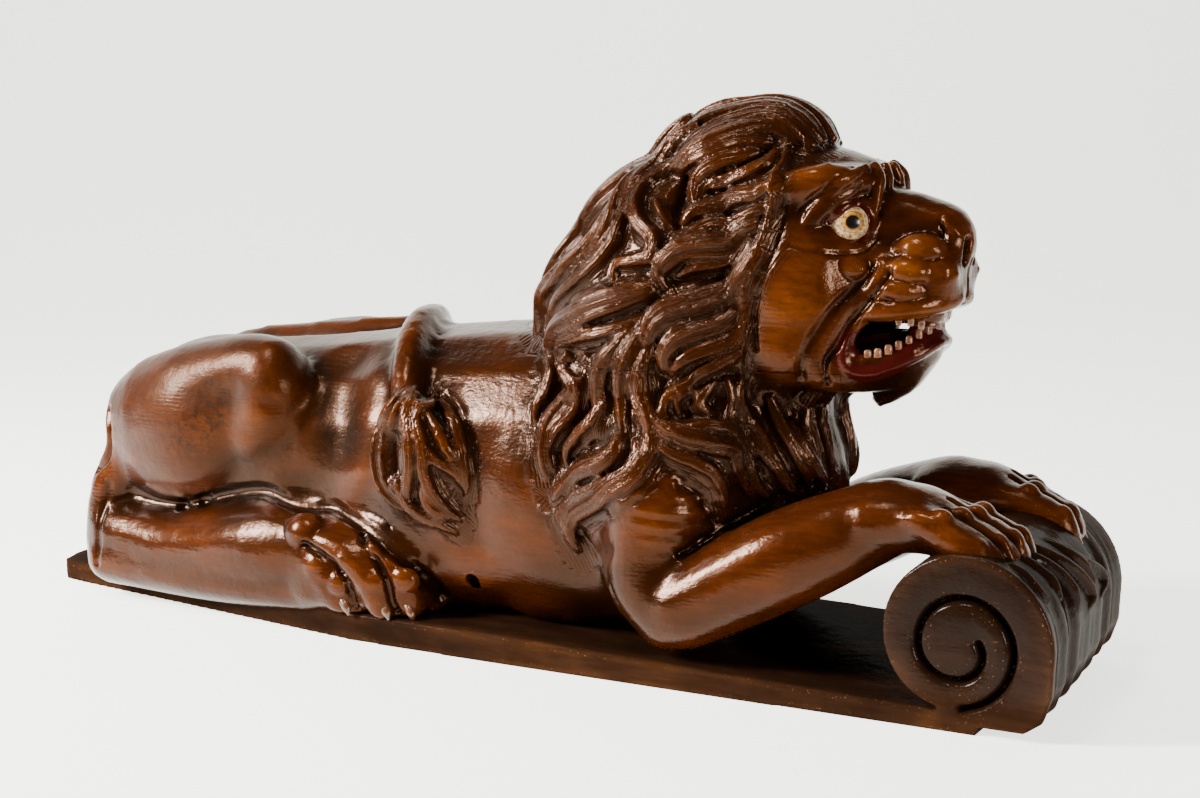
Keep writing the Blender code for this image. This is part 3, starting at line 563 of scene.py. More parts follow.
# The left eye: middle and radius of its ball, and the way it looks
EYE = (240.5, 30.5, 279)
EYE_SIZE = 11.5
GAZE = (0.42, 0.90, 0.03)
# Its rim seen from the side: toward the nose and up, from the outer corner over the top and back
EYE_RIM = ((-17, -7.5), (-12, -0.5), (-7.5, 5.5), (-2, 10), (4, 10.5), (8.5, 7), (10.5, 0.5), (9, -6.5),
           (4, -11), (-3, -12.5), (-10, -11.5), (-15, -9.5), (-17, -7.5))
# The hollow of the mouth and the lower lip, from the corner to the front
MOUTH_MIDDLE = ((247, 33, 209), (256, 28, 208), (268, 22, 209), (280, 14, 211), (290, 0, 215))
LOWER_LIP = ((243, 40, 210), (242, 40, 198), (247, 38, 192), (257, 34, 191), (268, 29, 195), (280, 21, 201),
             (288, 11, 207), (290, 0, 209))


def eye_place(ahead, up, lift=0.0):
    """A place over the left eye, ahead and up from its middle, lifted off the ball."""
    gaze = Vector(GAZE).normalized()
    forward = Vector((GAZE[1], -GAZE[0], 0)).normalized()
    depth = math.sqrt(max(EYE_SIZE ** 2 - ahead ** 2 - up ** 2, 6.0))
    return tuple(Vector(EYE) + forward * ahead + Vector((0, 0, up)) + gaze * (depth + lift))


def face_details(stock):
    """Lids, frown, cheek folds, the rolls of the muzzle, the lips and the wings of the nose."""
    def limb(radii, *points):
        stock.limb(points, radii)

    for _ in stock.both_sides():
        stock.limb([eye_place(*point) for point in EYE_RIM],
                   [1.8, 2.8, 3.2, 3.2, 2.8, 2.4, 2.2, 2.2, 2.2, 2.2, 2.2, 2.0, 1.8])
        stock.limb([eye_place(1.22 * ahead, 1.22 * up, -3.0) for ahead, up in EYE_RIM],
                   [5.0] * len(EYE_RIM))
        stock.ball(eye_place(-13, -6, -2.5), (4, 4, 4))
        limb([1.5, 3, 3.6, 3.6, 3.2, 3], (215, 49.5, 268), (221, 48, 281), (230, 44, 293), (239, 40, 302),
             (245, 34, 308), (248, 26, 311))
        limb([9, 9, 8], (234, 34, 303), (242, 28, 303), (248, 20, 302))
        limb([3.5, 5, 5, 4], (220, 46, 274), (227, 43.5, 285), (235, 39, 293), (243, 33, 298))
        limb([4, 4.5, 4.2, 3.6, 2.5], (250, 16, 311), (254, 20, 305), (254.5, 23, 296), (254, 25, 287),
             (253, 26, 279))
        limb([3.4, 3.4, 2.5], (253, 7, 311), (256, 9, 304), (257, 12, 296))
        limb([1.5, 2.4, 2.6, 2], (209, 52, 269), (218, 51, 269), (227, 47.5, 266), (236, 42, 263))
        stock.ball((238, 33, 254), (20, 12, 9), pitch=-10)
        limb([3, 4.5, 4.5, 4, 3], (262, 31, 256), (250, 36, 240), (239, 42, 224), (231, 45, 208),
             (227, 44, 190))
        limb([6, 9.5, 10, 6], (270, 23, 263), (279, 23, 264), (288, 19.5, 263), (297, 13, 262))
        limb([5, 8.5, 9, 5], (265, 31, 252), (274, 30, 252), (283, 26.5, 251), (292, 20, 251))
        limb([4, 7, 7.5, 4], (260, 35, 241), (268, 34, 241), (277, 31, 240), (287, 26, 240))
        limb([4.5, 6.5, 7, 6.5, 5.5, 4.5], (250, 36, 226), (263, 35, 228), (277, 31, 230), (290, 22, 232),
             (298, 13, 234), (300, 5, 236))
        limb([2.5, 3.6, 3.2, 2.2], (291, 14, 282), (296, 13, 277), (301, 11, 272), (303, 8, 270))
        limb([3, 3.6, 3.8, 3.6, 3.6, 3.6, 3.6, 3.6], *LOWER_LIP)
        limb([4, 4.5, 5, 6, 6], (250, 35, 198), (261, 29, 200), (272, 22, 204), (281, 13, 209),
             (285, 2, 212))
        limb([4, 4.5, 5, 6.5, 6.5], (252, 33, 226), (265, 28, 226), (276, 20, 225), (284, 11, 224),
             (286, 2, 225))
        limb([5, 6, 6], (277, 15, 214), (281, 8, 218), (282, 0, 218))
        limb([8, 9, 8], (236, 8, 228), (258, 8, 227), (278, 6, 226))
        limb([8, 8, 6], (236, 8, 200), (256, 7, 205), (270, 5, 208))


# Toes in the round on one side, outermost first, with their radii
FINE_TOES = (
    ((10, 11, 11.5, 10, 6.5), (-130, 86, 55), (-113, 91, 49), (-97, 94, 43), (-84, 93, 35),
     (-78, 92, 24)),
    ((9, 10, 10.5, 10.5, 10, 6.5), (-116, 85, 65), (-98, 89, 59), (-82, 91, 53), (-66, 91, 45),
     (-54, 91, 35), (-50, 90, 24)),
    ((8, 9.5, 10, 9.5, 6.5), (-84, 81, 67), (-66, 84, 61), (-53, 85, 51), (-43, 85, 39), (-38, 85, 26)),
)
FOOT_KNUCKLES = ((-115, 91, 66, 14), (-127, 92, 54, 13), (-101, 95, 47, 12.5), (-87, 93, 57, 12),
                 (-84, 96, 38, 10.5), (-58, 95, 41, 11), (-63, 89, 58, 11), (-39, 89, 44, 10))
HIND_CLAWS = ((-77, 100), (-47, 98), (-32, 92))


def paw_details(stock):
    """Toes with their knuckles, and the knobs of the wrists."""
    for side in stock.both_sides():
        for radii, *way in FINE_TOES:
            stock.limb(way, radii)
        for x, y, z, reach in FOOT_KNUCKLES:
            stock.ball((x, y, z), (reach * 1.15, reach * 0.9, reach))
        stock.ball(on_paw(side, 283, 78, 108), (11, 8, 9))
        stock.ball(on_paw(side, 303, 76, 108), (13, 9, 10))
        stock.ball(on_paw(side, 322, 80, 104), (9, 8, 8))
        for across, back in forepaw_toes():
            stock.ball(on_paw(side, 331 - back, across, 109), (9, 7.4, 11.5))
            stock.ball(on_paw(side, 352 - back, across, 97 - back / 4), (9, 7.6, 12))


def claws():
    """Short claws under the tips of the toes."""
    stock = Stock()
    for side in stock.both_sides():
        for x, y in HIND_CLAWS:
            stock.limb([(x - 4, y - 2, 26), (x, y, 22), (x + 1, y, 18.5)], [3.6, 3, 1.2])
        for across, back in forepaw_toes():
            stock.limb([on_paw(side, 359 - back, across, 90), on_paw(side, 363 - back, across, 85),
                        on_paw(side, 364 - back, across, 80)], [4, 3.2, 1.4])
    return stock


# The hole for a fixing in the near flank, and the lip of filler round it
HOLE = (4, -96, 44)
HOLE_REACH, HOLE_DEPTH = 5.5, 30
LIP_REACH, LIP_THICK, LIP_ACROSS = 8, 2.6, -92.5


def hole_lip(stock):
    turns = np.radians(np.arange(0, 361, 24))
    ring = [(HOLE[0] + LIP_REACH * math.cos(a), LIP_ACROSS, HOLE[2] + LIP_REACH * math.sin(a))
            for a in turns]
    stock.limb(ring, [LIP_THICK] * len(ring), steps=2)


def carve_lion():
    """The lion alone: its masses fused and rubbed down, then the hair and the face laid on and fused in."""
    rough = Stock()
    body(rough)
    mane_mass(rough)
    head(rough)
    for side in rough.both_sides():
        haunch(rough)
        foreleg(rough, side)
    tail(rough)
    lion = rough.fuse("lion", ROUGH_CUT, 4)
    skin = skin_of(lion)
    for side in SIDES:
        score(lion, skin, PITS, side)
    score(lion, skin, TUFT_PITS, -1)
    fine = Stock()
    fine.add_mesh(lion.data)
    bpy.data.objects.remove(lion)
    hair = []
    mane(fine, skin, hair)
    lay_locks(fine, skin, TUFT_LOCKS, -1, hair)
    face_details(fine)
    paw_details(fine)
    hole_lip(fine)
    lion = fine.fuse("lion", FINE_CUT, 1)
    for side in SIDES:
        score(lion, skin, CREASES, side)
    ripple(lion)
    note_hair(lion, hair)
    return lion


# How far hair reaches out from the middle of its lock and over how much of that it fades, in half widths
HAIR_REACH, HAIR_FADE = 1.3, 0.4


def note_hair(obj, hair):
    """Notes how far each place lies to the side of its lock's middle, and where there is hair at all."""
    places, normals = places_of(obj.data) / HAND, places_of(obj.data, "normal")
    beside, cover = np.zeros(len(places)), np.zeros(len(places))
    closest = np.full(len(places), HAIR_REACH)
    for number, (path, width) in enumerate(hair):
        near = np.flatnonzero(close_to(places, path, HAIR_REACH * width))
        here = places[near]
        for start, end in zip(path, path[1:]):
            offset = stand_off(here, start, end)
            gap = np.linalg.norm(offset, axis=1) / width
            closer = gap < closest[near]
            chosen = near[closer]
            across = np.cross((end - start) / np.linalg.norm(end - start), normals[chosen])
            closest[chosen] = gap[closer]
            beside[chosen] = (offset[closer] * across).sum(1) + 1.7 * number
            cover[chosen] = np.clip((HAIR_REACH - gap[closer]) / HAIR_FADE, 0, 1)
    note(obj, "beside_lock", beside)
    note(obj, "hair", cover)


def ripple(lion):
    """The marks of a wide gouge left standing across the shoulder."""
    places, normals = places_of(lion.data), places_of(lion.data, "normal")
    x, y, z = (places / HAND).T
    share = np.clip(1 - ((x - 158) / 32) ** 2 - ((z - 110) / 36) ** 2, 0, 1) * (np.abs(y) > 60)
    wave = 0.45 * share * np.sin(2 * np.pi * (z + 0.12 * x) / 9.5)
    move_to(lion.data, places + normals * (wave * HAND)[:, None])


def edge_ends(mesh):
    """The numbers of the two vertices of every edge, as rows."""
    ends = np.empty(len(mesh.edges) * 2, int)
    mesh.edges.foreach_get("vertices", ends)
    return ends.reshape(-1, 2)


def keep_largest_shell(obj):
    """Drops the small closed hollows that fusing can leave inside the block."""
    mesh = obj.data
    ends = edge_ends(mesh)
    label = np.arange(len(mesh.vertices))
    while True:
        least = np.minimum(label[ends[:, 0]], label[ends[:, 1]])
        fresh = label.copy()
        np.minimum.at(fresh, ends[:, 0], least)
        np.minimum.at(fresh, ends[:, 1], least)
        fresh = fresh[fresh]
        if np.array_equal(fresh, label):
            break
        label = fresh
    names, counts = np.unique(label, return_counts=True)
    if len(names) > 1:
        keep = names[counts.argmax()]
        bm = bmesh.new()
        bm.from_mesh(mesh)
        bm.verts.ensure_lookup_table()
        bmesh.ops.delete(bm, geom=[bm.verts[i] for i in np.flatnonzero(label != keep)], context="VERTS")
        bm.to_mesh(mesh)
        bm.free()


def reduce_facets(obj, most):
    triangles = sum(len(p.vertices) - 2 for p in obj.data.polygons)
    if triangles > most:
        reduce = obj.modifiers.new("Facets", "DECIMATE")
        reduce.ratio = most / triangles
        apply_modifiers(obj)


def box(name, low, high):
    bm = bmesh.new()
    low, high = Vector(low), Vector(high)
    place = Matrix.Translation((low + high) / 2) @ Matrix.Diagonal((*(high - low), 1))
    bmesh.ops.create_cube(bm, size=1, matrix=place)
    return new_object(name, bm)


def cut(obj, cutter, operation="DIFFERENCE"):
    """Cuts, joins or trims an object with another, which is used up."""
    boolean = obj.modifiers.new("Cut", "BOOLEAN")
    boolean.operation = operation
    boolean.solver = "MANIFOLD"
    boolean.object = cutter
    apply_modifiers(obj)
    bpy.data.objects.remove(cutter)
    return obj


def note_hollows(obj):
    """Notes for each vertex how far it lies below its surroundings, close by and farther off."""
    mesh = obj.data
    places, normals = places_of(mesh), places_of(mesh, "normal")
    first, second = edge_ends(mesh).T
    count = len(places)
    links = np.bincount(first, minlength=count) + np.bincount(second, minlength=count)
    level = places.copy()
    for rounds, name in ((10, "near_hollow"), (90, "far_hollow")):
        for _ in range(rounds):
            level = np.stack([(np.bincount(first, level[second, k], count)
                               + np.bincount(second, level[first, k], count)) / links for k in range(3)], 1)
        note(obj, name, ((level - places) * normals).sum(1) / HAND)


def note_paint(obj):
    """Notes where the red paint of the mouth and of the eyes' rims lies."""
    places = places_of(obj.data) / HAND
    red = np.zeros(len(places))
    for side in SIDES:
        turn = np.array([1, side, 1])
        lip = gap_to(places, spline(LOWER_LIP, 40) * turn, 12)
        inside = gap_to(places, spline(MOUTH_MIDDLE, 30) * turn, 18)
        rim = gap_to(places, np.array([eye_place(*point) for point in EYE_RIM]) * turn, 8)
        for gap, reach, fade in ((lip, 6.0, 1.5), (inside, 11.5, 1.5), (rim, 4.4, 1.2)):
            red = np.maximum(red, np.clip((reach - gap) / fade, 0, 1))
    note(obj, "red_paint", red)


# Where the varnish is rubbed to amber, and where shade is painted dark into the hollows and under the chin,
# chest, belly and thigh: x, z, reach and how much, on both sides
TONES_AND_SHADE = (
    (214, 238, 26, 0.28), (205, 215, 22, 0.22), (222, 262, 16, 0.15), (250, 290, 18, -0.05),
    (250, 250, 20, 0.20), (282, 258, 18, 0.25), (20, 90, 34, 0.06), (48, 72, 30, 0.04),
    (-75, 110, 30, 0.12), (-70, 150, 28, 0.10), (-200, 150, 40, 0.10), (-240, 120, 30, 0.06),
    (138, 96, 26, 0.14), (230, 92, 40, -0.06), (-100, 132, 22, -0.65), (-170, 78, 20, -0.25),
    (-60, 84, 16, -0.30), (262, 182, 18, -0.35), (205, 150, 34, -0.30), (100, 40, 40, -0.30),
    (150, 40, 26, -0.20), (60, 190, 30, -0.15), (-20, 190, 40, -0.10), (-300, 60, 30, -0.20),
)
# The middle line of the scuffed patch on the thigh
SCUFF = ((-221, 121), (-208, 130), (-198, 140), (-190, 152), (-192, 138), (-204, 118))


def note_tones_and_shade(obj):
    """Notes where the varnish is rubbed to amber, where shade is painted into hollows, where it is darker
    towards the bottom, and the scuffed patch on the thigh.
    """
    x, y, z = (places_of(obj.data) / HAND).T
    tone_and_shade = np.zeros(len(x))
    for middle_x, middle_z, reach, much in TONES_AND_SHADE:
        tone_and_shade += much * np.exp(-(((x - middle_x) ** 2 + (z - middle_z) ** 2) / reach ** 2))
    # Darker towards the bottom, below a height of 24.
    note(obj, "tone_and_shade", tone_and_shade - 0.25 * np.clip((24 - z) / 14, 0, 1))
    scuff = gap_to(np.stack([x, z], 1), spline(SCUFF, 30), 16)
    note(obj, "scuff", np.clip((15 - scuff) / 8, 0, 1) * (np.abs(y) > 60))
    thigh = np.exp(-(((x + 195) / 105) ** 2 + ((z - 150) / 62) ** 2))
    note(obj, "dull", np.clip(1.3 * thigh + 0.6 * (x > 322) * (z > 78), 0, 1))


def note(obj, name, values):
    attribute = obj.data.attributes.new(name, "FLOAT", "POINT")
    attribute.data.foreach_set("value", np.asarray(values, np.float32))


# The board: height, half width in front and at the tail, and its ends
BASE_TOP = 18
BASE_HALF = 100
TAIL_HALF = 57
TAIL_END, FRONT_END = -386, 391
# The scroll: radius, how far it winds in, length across, how far it slants for a hand across, middle,
# foot and the worn edge of the foot
SCROLL_REACH = 55
SCROLL_BAND = 21
SCROLL_WIDTH = 197
SCROLL_SKEW = 0.070
SCROLL_X, SCROLL_Z = FRONT_END - SCROLL_REACH, BASE_TOP - 5 + SCROLL_REACH - SCROLL_BAND * 0.75
SCROLL_FOOT = 5
SCROLL_TOE = ((16, 0), (6, 7), (1, 22))
# The groove in its faces, as turns and share of the radius, and the flutes down its front
GROOVE_WAY = ((0.76, 0.70), (1.0, 0.565), (1.2, 0.465), (1.4, 0.43), (1.6, 0.445), (1.8, 0.38), (2.0, 0.21))
# Half width and depth of the groove, and of the softer dip beside it
GROOVE_HALF, GROOVE_DEPTH = 3.0, 6
DIP_HALF, DIP_DEPTH = 7, 1.2
FLUTE_COUNT = 6
FLUTE_DEPTH = 3.0


def loft(bm, rings):
    """Closed skin over rings of points of equal count."""
    made = [[bm.verts.new(at(*point)) for point in ring] for ring in rings]
    join_rings(bm, made)
    bm.faces.new(made[0])
    bm.faces.new(made[-1])


def board(bm):
    """The long board under the lion, tapered to a rounded tail end."""
    length = FRONT_END - TAIL_END
    rings = []
    for share, width, thick in ((0.0, 0.12 * TAIL_HALF, 0.1), (0.006, 0.40 * TAIL_HALF, 0.2),
                                (0.017, 0.74 * TAIL_HALF, 0.3), (0.032, 0.94 * TAIL_HALF, 0.35),
                                (0.052, TAIL_HALF, 0.4), (0.40, 0.97 * BASE_HALF, 1.0),
                                (0.55, BASE_HALF, 1.0), (0.944, 0.98 * BASE_HALF, 0.2)):
        x = TAIL_END + share * length
        top = BASE_TOP * (0.5 + 0.5 * thick)
        rings.append([(x, y, z) for y, z in ((-width, 0), (width, 0), (width, top), (-width, top))])
    loft(bm, rings)


def roll(bm):
    """The rolled end of the base, with flutes down its front."""
    stations = 8 * FLUTE_COUNT + 2
    rings = []
    for station in range(stations + 1):
        y = SCROLL_WIDTH * (station / stations - 0.5)
        inner = 0 < station < stations
        uneven = 0.55 + 0.45 * math.sin(1.9 * (0.9 * station // 8))
        depth = FLUTE_DEPTH * uneven * math.sin(math.pi / 8 * (station - 1)) ** 2 if inner else 0
        outline = []
        for step in range(37):
            turns = 0.75 * step / 36
            reach = SCROLL_REACH - SCROLL_BAND * turns - depth * max(0.0, math.cos(2 * math.pi * turns))
            angle = 2 * math.pi * turns
            outline.append((SCROLL_X + reach * math.cos(angle), SCROLL_Z + reach * math.sin(angle)))
        outline.append((SCROLL_X, SCROLL_FOOT))
        outline += [(FRONT_END - back - depth, SCROLL_FOOT + up) for back, up in SCROLL_TOE]
        drift = SCROLL_SKEW * (y + SCROLL_WIDTH / 2)
        rings.append([(x - drift, y, z) for x, z in outline])
    loft(bm, rings)


# Ribs of the leaf that hangs over the scroll between the paws
LEAF = (
    (4, (354, -66, 96), (362, -63, 94), (370, -59, 88), (376, -56, 82), (381, -54, 74)),
    (4.5, (353, -34, 96), (361, -31, 93), (370, -19, 86), (377, -5, 76), (382, 5, 63), (383, -5, 56)),
    (4, (362, 12, 88), (372, 16, 80), (377, 38, 70), (379, 43, 62), (381, 29, 56)),
    (3.5, (360, -85, 96), (367, -84, 92), (375, -85, 85), (381, -79, 78)),
    (4, (354, -50, 96), (364, -46, 92), (374, -38, 84), (382, -32, 72), (384, -30, 60)),
    (4, (356, -8, 94), (366, 0, 88), (374, 12, 79), (380, 20, 68)),
)


def carve_base():
    """Board and scroll, edges worn, with the winding groove cut into both faces of the scroll."""
    stock = Stock()
    board(stock.bm)
    roll(stock.bm)
    for reach, *way in LEAF:
        stock.limb(way, [reach * 0.7] + [reach] * (len(way) - 2) + [reach * 0.4])
    obj = stock.fuse("base", FINE_CUT, 2)
    places = places_of(obj.data) / HAND
    for side in SIDES:
        face = side * SCROLL_WIDTH / 2
        drift = SCROLL_SKEW * (face + SCROLL_WIDTH / 2)
        way = spline(GROOVE_WAY, 60)
        angle, reach = 2 * math.pi * way[:, 0], SCROLL_REACH * way[:, 1]
        groove = np.stack([SCROLL_X - drift + reach * np.cos(angle), SCROLL_Z + reach * np.sin(angle)], 1)
        flat = places[:, [0, 2]]
        gap = gap_to(flat, groove, 12)
        depth = GROOVE_DEPTH * np.clip(1 - (gap / GROOVE_HALF) ** 2, 0, 1) ** 1.5
        depth += DIP_DEPTH * np.exp(-(gap / DIP_HALF) ** 2)
        out = np.linalg.norm(flat - np.array([SCROLL_X - drift, SCROLL_Z]), axis=1)
        on_face = (np.abs(places[:, 1] - face) < 4) & (out < SCROLL_REACH + 3)
        places[:, 1] -= side * np.where(on_face, depth, 0)
    move_to(obj.data, places * HAND)
    return obj


# Teeth of one side: middle of the foot, half width and height, upward in the lower jaw
TEETH = (
    (255, 34.5, 201, 2.4, 3.6), (260.5, 32.5, 202, 2.4, 3.6), (266, 29.5, 204, 2.4, 3.8),
    (271, 26, 206, 2.2, 4), (276, 22, 208, 2.2, 5), (280.5, 18, 210.5, 2.2, 6.5),
    (284.5, 12.5, 213, 2.2, 6), (287, 5, 214, 2.2, 6),
    (271, 27, 222.5, 2.0, -3.5), (277, 23, 223.5, 2.1, -5), (282, 18.5, 225.5, 2.3, -9.5),
    (286.5, 13, 227, 2.3, -9), (290, 6, 228.5, 2.3, -8),
)


def teeth():
    """Rows of small square teeth in both jaws, with longer ones at the front corners."""
    stock = Stock()

    def squared(angle, share):
        return (math.cos(angle) ** 4 + math.sin(angle) ** 4) ** -0.25

    for side in SIDES:
        for x, y, z, half, tall in TEETH:
            centres = [at(x, y * side, z + tall * rise) for rise in (-0.5, 0.0, 0.6, 0.9, 1.0)]
            sizes = [half * HAND * share for share in (1, 1, 0.95, 0.8, 0.5)]
            forward = 0.45 if x < 284 else 0.9
            out = Vector((forward, (1.35 - forward) * side, 0)).normalized()
            along = out.cross(Vector((0, 0, 1)))
            stock.sleeve(centres, [along] * 5, [out] * 5, sizes, [size * 0.8 for size in sizes], squared)
    bmesh.ops.recalc_face_normals(stock.bm, faces=stock.bm.faces)
    return stock


def linear(colour):
    """A colour written as it looks, as sRGB hex, turned to linear light."""
    channels = [int(colour[i:i + 2], 16) / 255 for i in (1, 3, 5)]
    return tuple(c / 12.92 if c <= 0.04045 else ((c + 0.055) / 1.055) ** 2.4 for c in channels) + (1,)


class Finish:
    """A material with its shader, and the one way in which nodes are added to it."""

    def __init__(self, name):
        self.material = bpy.data.materials.new(name)
        self.material.use_nodes = True
        self.tree = self.material.node_tree
        self.shader = self.tree.nodes["Principled BSDF"]

    def add(self, kind, inputs=(), out=0, stops=(), **settings):
        """A new node's output; inputs go to its sockets in turn, or by name or number."""
        node = self.tree.nodes.new("ShaderNode" + kind)
        for name, value in settings.items():
            setattr(node, name, value)
        while stops and len(node.color_ramp.elements) < len(stops):
            node.color_ramp.elements.new(0.5)
        for number, (place, colour) in enumerate(stops):
            node.color_ramp.elements[number].position = place
            node.color_ramp.elements[number].color = linear(colour)
        self.fill(node, inputs if isinstance(inputs, dict) else dict(enumerate(inputs)))
        return node.outputs[out]

    def fill(self, node, inputs):
        """Sets sockets to values, or links them to outputs."""
        for key, value in inputs.items():
            if isinstance(value, bpy.types.NodeSocket):
                self.tree.links.new(value, node.inputs[key])
            else:
                node.inputs[key].default_value = value

    def places(self, size, stretch):
        """Places in the frame, counted in steps of a real size in millimetres."""
        steps = tuple(share * 1000 / size for share in stretch)
        return self.add("VectorMath", (self.add("NewGeometry"), steps), operation="MULTIPLY")

    def mottle(self, size, stretch=(1, 1, 1), detail=4, roughness=0.55):
        """An uneven pattern whose patches have a real size in millimetres."""
        return self.add("TexNoise", {"Vector": self.places(size, stretch), "Scale": 1.0, "Detail": detail,
                                     "Roughness": roughness})


# Real sizes of what shows in the finish, in millimetres; real pores and cracks are finer than the picture
# can show, so the grain, specks and cracks are drawn as coarse as they need to be
STAIN_PATCH = 40
GRAIN = 3.5
SPECK = 1.6
CRACK = 2.0
FLAKE = 5
HOLLOW = 20
GOUGE_MARK = 9
MARKED_AREA = 30
DIMPLE = 6
PAINT_SPOT = 2.2
EYE_SPOT = 2.4

# The wood from its hollows, where shade is painted, to its rubbed heights, on the lion and on the handled
# base
LION_STAIN = ((0.0, "#0c0401"), (0.3, "#200b02"), (0.6, "#381502"), (0.8, "#4a2003"), (1.0, "#5e2d03"))
BASE_STAIN = ((0.0, "#0c0603"), (0.45, "#1a0e07"), (0.75, "#2a180d"), (1.0, "#3c2311"))
AMBER_GLOSS = "#ffb07a"


def varnished_oak(name, handled=False):
    """Oak stained red-brown under thick old varnish: amber where rubbed, nearly black in creases from dirt
    and painted shade, and darkened by painted shade in its broad hollows.
    """
    f = Finish(name)
    near = f.add("Attribute", (), "Fac", attribute_name="near_hollow")
    far = f.add("Attribute", (), "Fac", attribute_name="far_hollow")
    dull = f.add("Attribute", (), "Fac", attribute_name="dull")
    patches = f.add("MapRange", (f.mottle(STAIN_PATCH, (0.6, 1, 1)), 0.3, 0.7, -0.22, 0.22))
    # Painted shade: the stain darkens in the broad hollows and stays lighter on the swells between them.
    swell = f.add("Math", (f.add("MapRange", (far, 3.0, -3.0, 0.12, 0.72)), patches), operation="ADD")
    grain = f.add("MapRange", (f.mottle(GRAIN, (0.12, 1, 1), 5), 0.42, 0.62, 0.0, 0.35))
    specks = f.add("MapRange", (f.mottle(SPECK, detail=2), 0.66, 0.72, 0.0, 0.35))
    rubbed = f.add("Math", (specks, f.add("MapRange", (near, -0.1, -0.5))), operation="MULTIPLY")
    # Dirt and painted shade: the creases and narrow hollows go nearly black.
    dirt_and_shade = f.add("MapRange", (near, 0.15, 1.9, 0.0, 0.85))
    height = f.add("Math", (f.mottle(CRACK, (0.7, 1, 1.3), 3, 0.6), 0.5), operation="MULTIPLY")
    layers = [(grain, "#180802"), (rubbed, "#8d6038"), (dirt_and_shade, "#0a0402")]
    if handled:
        stain = BASE_STAIN
        gloss = {"Coat Weight": f.add("MapRange", (dull, 0.0, 1.0, 0.15, 0.02)), "Roughness": 0.3,
                 "Specular IOR Level": 0.0}
    else:
        stain = LION_STAIN
        tone_and_shade = f.add("Attribute", (), "Fac", attribute_name="tone_and_shade")
        hair = f.add("Attribute", (), "Fac", attribute_name="hair")
        beside = f.add("Attribute", (), "Fac", attribute_name="beside_lock")
        scuff = f.add("Attribute", (), "Fac", attribute_name="scuff")
        red = f.add("Attribute", (), "Fac", attribute_name="red_paint")
        # Rubbed amber patches, and painted shade in the hollows and under the chin, chest, belly and thigh.
        swell = f.add("Math", (swell, tone_and_shade), operation="ADD")
        waves = f.add("Math", (f.add("Math", (beside, 2.6), operation="MULTIPLY"),), operation="SINE")
        strands = f.add("Math", (waves, hair), operation="MULTIPLY")
        height = f.add("Math", (strands, 0.20, height), operation="MULTIPLY_ADD")
        flakes = f.add("MapRange", (f.mottle(FLAKE, (1, 1, 1), 5, 0.7), 0.45, 0.6, 0.0, 0.85))
        worn = f.add("Math", (scuff, flakes), operation="MULTIPLY")
        layers.insert(0, (f.add("Math", (hair, 0.45), operation="MULTIPLY"), "#271003"))
        # Painted shade: the grooves between the strands of hair are darkened.
        layers += [(f.add("MapRange", (strands, 0.0, -1.0, 0.0, 0.45)), "#0d0603"), (worn, "#0e0906"),
                   (red, "#300806")]
        gloss = {"Coat Weight": f.add("MapRange", (dull, 0.0, 1.0, 0.10, 0.03)),
                 "Roughness": f.add("MapRange", (dull, 0.0, 1.0, 0.20, 0.36)), "Specular IOR Level": 0.22}
    wood = f.add("ValToRGB", (swell,), stops=stain)
    for share, colour in layers:
        wood = f.add("Mix", {0: share, 6: wood, 7: linear(colour)}, 2, data_type="RGBA")
    scrapes = f.add("TexWave", {"Vector": f.places(GOUGE_MARK, (0.30, 0.30, 1)), "Scale": 1.0,
                                "Distortion": 7.0, "Detail": 3.0, "Detail Scale": 0.6}, "Fac",
                    wave_type="BANDS", bands_direction="Z")
    scraped = f.add("MapRange", (f.mottle(MARKED_AREA, detail=2), 0.5, 0.62))
    marks = f.add("Math", (scrapes, scraped), operation="MULTIPLY")
    relief = {}
    for shape, deep, strength in ((f.mottle(HOLLOW, (1, 1, 1), 2, 0.5), 1.2, 0.5), (marks, 0.10, 0.4),
                                  (f.mottle(DIMPLE, (1, 1, 1), 2, 0.5), 0.50, 0.42), (height, 0.50, 0.60)):
        relief["Normal"] = f.add("Bump", {"Height": shape, "Distance": deep * HAND, "Strength": strength,
                                          **relief})
    f.fill(f.shader, {"Base Color": wood, **gloss, "Specular Tint": linear(AMBER_GLOSS),
                      "Coat Roughness": 0.13, "Coat IOR": 1.45, **relief, "Coat Normal": relief["Normal"]})
    return f.material


def painted(name, colour):
    """Old paint, stained brown in spots."""
    f = Finish(name)
    dirt = f.add("MapRange", (f.mottle(PAINT_SPOT, roughness=0.7), 0.42, 0.62, 0.0, 0.8))
    paint = f.add("Mix", {0: dirt, 6: linear(colour), 7: linear("#4a2412")}, 2, data_type="RGBA")
    f.fill(f.shader, {"Base Color": paint, "Roughness": 0.25, "Coat Weight": 0.4, "Coat Roughness": 0.1})
    return f.material


# How much farther ahead and up the painted pupil looks than the ball
PUPIL_AHEAD, PUPIL_UP = 0.12, 0.06
# The eye's paint from the lid to the pupil, and the two places that the pupil's edge lies between
EYE_PAINT = ((0.0, "#6d2f1c"), (0.40, "#a8744c"), (0.58, "#dab888"), (0.81, "#c99f66"), (0.84, "#8a5a20"),
             (0.87, "#b98a3a"), (0.925, "#9c6a22"), (0.94, "#0c0704"))
PUPIL_EDGE = (0.925, 0.94)


